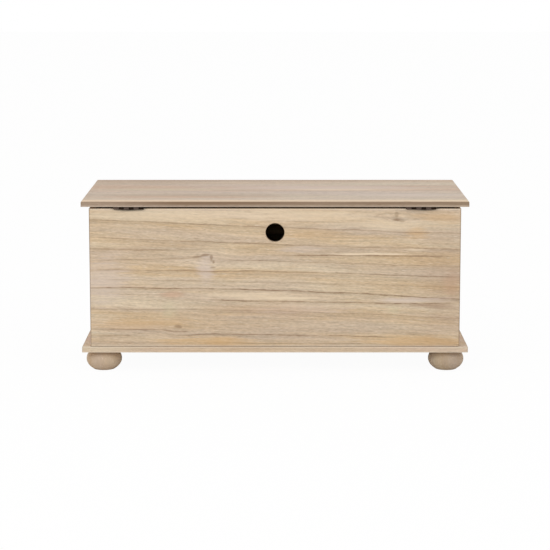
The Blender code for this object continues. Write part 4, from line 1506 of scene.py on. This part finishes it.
class CHEST_OT_stays(bpy.types.Operator):
    """Stamps the slotted stay arms and turns their rivets"""

    bl_idname = "chest.stays"
    bl_label = "Lid Stays"

    def make_arm(self, sizes, side, finish):
        node = f"stay_arm_{side}"
        low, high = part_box(node)
        pivot = joint_place(f"stay_{side}_pivot")
        stud = centre_of(f"stay_plate_{side}") - pivot
        near = math.hypot(stud.y, stud.z)
        radius = sizes.arm_width / 2
        far = (pivot.z - low.z - radius) * near / -stud.z
        steps = sizes.facets // 2
        arm = stadium(0.0, -far, radius, steps)
        slot = stadium(-near, -far, sizes.arm_slot / 2, steps)
        last = 360 - 360 / sizes.facets
        hole = arc((0.0, 0.0), sizes.arm_hole / 2, 0, last, sizes.facets - 1)
        lean = Matrix.Rotation(math.atan2(stud.y, -stud.z), 4, "X")
        middle = Vector(((low.x + high.x) / 2, pivot.y, pivot.z))
        place = Matrix.Translation(middle) @ lean @ SIDE_SECTION
        name = f"stamped_{node}"
        mesh = stamped(name, (arm, slot, hole), high.x - low.x, sizes.rolled_edge, place)
        add_piece(name, mesh, finish, "zinc_steel", f"stay_{side}", node, sharp_from=40)

    def execute(self, context):
        sizes = context.scene.chest_fittings
        finish = zinc_plate(context.scene.chest_metal)
        for side in SIDES:
            self.make_arm(sizes, side, finish)
            node = f"stay_rivet_{side}"
            rivet = headed_pin(*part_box(node), sizes.rivet_shank, sizes.rivet_head)
            place = (ALONG_CHEST, finish, "zinc_steel", "lid", node)
            add_turned(sizes, f"turned_{node}", rivet, *place)
        return {"FINISHED"}


class CHEST_OT_plates(bpy.types.Operator):
    """Gives the stays' plates and brackets their zinc plating"""

    bl_idname = "chest.plates"
    bl_label = "Stay Plates"

    def execute(self, context):
        finish = zinc_plate(context.scene.chest_metal)
        for side in SIDES:
            for kind in ("plate", "bracket"):
                set_finish(frame["nodes"][f"stay_{kind}_{side}"], finish)
        return {"FINISHED"}


class CHEST_OT_bumpers(bpy.types.Operator):
    """Turns the two rubber bumpers on the front panel"""

    bl_idname = "chest.bumpers"
    bl_label = "Bumpers"

    def execute(self, context):
        sizes = context.scene.chest_fittings
        rubber = context.scene.chest_metal.rubber
        finish = shared_material("bumper_rubber", moulded_rubber, rubber)
        for side in SIDES:
            node = f"lid_bumper_{side}"
            low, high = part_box(node)
            radius = (high.x - low.x) / 2
            height = high.z - low.z
            crown = radius / 4
            corner = arc((radius - crown, height - crown), crown, 90, 0, 6)
            outline = [(0.0, height), *corner, (radius, 0.0), (0.0, 0.0)]
            place = (UPRIGHT, finish, "black_rubber", "carcass", node)
            add_turned(sizes, f"moulded_{node}", outline, *place)
        return {"FINISHED"}


class CHEST_OT_foot_bolts(bpy.types.Operator):
    """Turns the tee nuts and the foot bolts in them"""

    bl_idname = "chest.foot_bolts"
    bl_label = "Foot Bolts"

    def nut_outline(self, sizes, flange, height):
        inner = sizes.bolt_diameter / 2 + sizes.screw_room
        barrel = sizes.nut_barrel / 2
        under = height - sizes.nut_flange
        edge = sizes.rolled_edge
        rim = arc((flange - edge, height - edge), edge, 90, 0, 3)
        outline = [(inner, height), *rim, (flange, under), (barrel, under), (barrel, 0.0)]
        return [*outline, (inner, 0.0)]

    def bolt_outline(self, sizes, radius, height):
        chamfer = sizes.bolt_chamfer
        outline = [(0.0, height), (radius - chamfer, height), (radius, height - chamfer)]
        return [*outline, (radius, sizes.bolt_diameter), (0.0, 0.0)]

    def execute(self, context):
        sizes = context.scene.chest_fittings
        finish = zinc_plate(context.scene.chest_metal)
        for kind, outline in (("tee_nut", self.nut_outline), ("foot_bolt", self.bolt_outline)):
            for end, side in CORNERS:
                node = f"{kind}_{end}_{side}"
                low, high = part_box(node)
                shape = outline(sizes, (high.x - low.x) / 2, high.z - low.z)
                place = (UPRIGHT, finish, "zinc_steel", "carcass", node)
                add_turned(sizes, f"turned_{node}", shape, *place, sharp_from=35)
        return {"FINISHED"}


# Stage

# The soft boxes: their places, and how bright each is beside the other
SOFT_BOXES = {
    "soft_box_left": ((-2.6, -3.2, 2.6), 1.25),
    "soft_box_right": ((2.6, -3.2, 2.6), 0.75),
}
SOFT_BOX_SIZE = 2.4
SOFT_BOX_AIM = Vector((0.0, 0.0, 0.2))


def white_background(world, sky):
    """An even light from all round, which shows as plain white to the camera and in reflections."""
    world.use_nodes = True
    tree = world.node_tree
    tree.nodes.clear()
    rays = add(tree, "ShaderNodeLightPath").outputs
    seen = add(tree, "MAXIMUM", rays["Is Camera Ray"], rays["Is Glossy Ray"])
    plain = add(tree, "MAXIMUM", seen, rays["Is Transmission Ray"])
    light = add(tree, "ShaderNodeBackground", WHITE, sky)
    white = add(tree, "ShaderNodeBackground", WHITE, 1.0)
    both = add(tree, "ShaderNodeMixShader", plain, light, white)
    add(tree, "ShaderNodeOutputWorld", both)


def pale_floor(stage):
    """A seamless pale floor: nearly white to the camera, and still holding a faint shadow."""
    material, tree, _ = new_material("pale_floor")
    tree.nodes.clear()
    rays = add(tree, "ShaderNodeLightPath").outputs
    matt = add(tree, "ShaderNodeBsdfDiffuse", opaque(stage.floor))
    glow = add(tree, "ShaderNodeEmission", WHITE, 1.0)
    shown = add(tree, "MULTIPLY", rays["Is Camera Ray"], stage.floor_glow)
    both = add(tree, "ShaderNodeMixShader", shown, matt, glow)
    add(tree, "ShaderNodeOutputMaterial", both)
    return material


class CHEST_OT_stage(bpy.types.Operator):
    """Lays the pale floor, hangs the soft light and sets up the camera"""

    bl_idname = "chest.stage"
    bl_label = "Floor, Light and Camera"

    def execute(self, context):
        stage = context.scene.chest_stage
        scene = context.scene
        scene.view_settings.view_transform = "Standard"
        shape = bmesh.new()
        bmesh.ops.create_grid(shape, x_segments=1, y_segments=1, size=stage.floor_size / 2)
        mesh = bpy.data.meshes.new("floor")
        shape_to_mesh(shape, mesh)
        floor = new_object("floor", mesh)
        set_finish(floor, pale_floor(stage))
        scene.world = scene.world or bpy.data.worlds.new("soft_sky")
        white_background(scene.world, stage.sky)
        for name, (place, share) in SOFT_BOXES.items():
            lamp = bpy.data.lights.new(name, "AREA")
            lamp.energy = stage.lamp * share
            lamp.size = SOFT_BOX_SIZE
            box = new_object(name, lamp)
            box.location = place
            aim = SOFT_BOX_AIM - Vector(place)
            box.rotation_euler = aim.to_track_quat("-Z", "Y").to_euler()
        lens = bpy.data.cameras.new("camera")
        lens.lens = stage.camera_lens
        lens.shift_y = stage.camera_shift
        lens.clip_end = 2 * stage.floor_size
        camera = new_object("camera", lens)
        camera.location = (0.0, -stage.camera_back, stage.camera_height)
        camera.rotation_euler = (math.pi / 2 - stage.camera_pitch, 0.0, 0.0)
        scene.camera = camera
        return {"FINISHED"}


# The add-on

SETTINGS = {
    "chest_wood": ChestWood,
    "chest_metal": ChestMetal,
    "chest_fittings": ChestFittings,
    "chest_feet": ChestFeet,
    "chest_stage": ChestStage,
}

# The operators, in the order that they are run in
OPERATORS = (
    CHEST_OT_stage,
    CHEST_OT_boards,
    CHEST_OT_feet,
    CHEST_OT_hinges,
    CHEST_OT_screws,
    CHEST_OT_stays,
    CHEST_OT_plates,
    CHEST_OT_bumpers,
    CHEST_OT_foot_bolts,
)


class CHEST_PT_panel(bpy.types.Panel):
    """The chest's operators and settings"""

    bl_label = "Storage Chest"
    bl_idname = "CHEST_PT_panel"
    bl_space_type = "VIEW_3D"
    bl_region_type = "UI"
    bl_category = "Chest"

    def draw(self, context):
        for operator in OPERATORS:
            self.layout.operator(operator.bl_idname)
        for name, group in SETTINGS.items():
            box = self.layout.box()
            box.label(text=group.__doc__)
            for setting in group.__annotations__:
                box.prop(getattr(context.scene, name), setting)


CLASSES = (*SETTINGS.values(), *OPERATORS, CHEST_PT_panel)


def register():
    for kind in CLASSES:
        bpy.utils.register_class(kind)
    for name, group in SETTINGS.items():
        setattr(bpy.types.Scene, name, bpy.props.PointerProperty(type=group))


def unregister():
    for name in SETTINGS:
        delattr(bpy.types.Scene, name)
    for kind in reversed(CLASSES):
        bpy.utils.unregister_class(kind)


def main():
    register()
    for operator in OPERATORS:
        getattr(bpy.ops.chest, operator.bl_idname.removeprefix("chest."))()


if __name__ == "__main__":
    main()
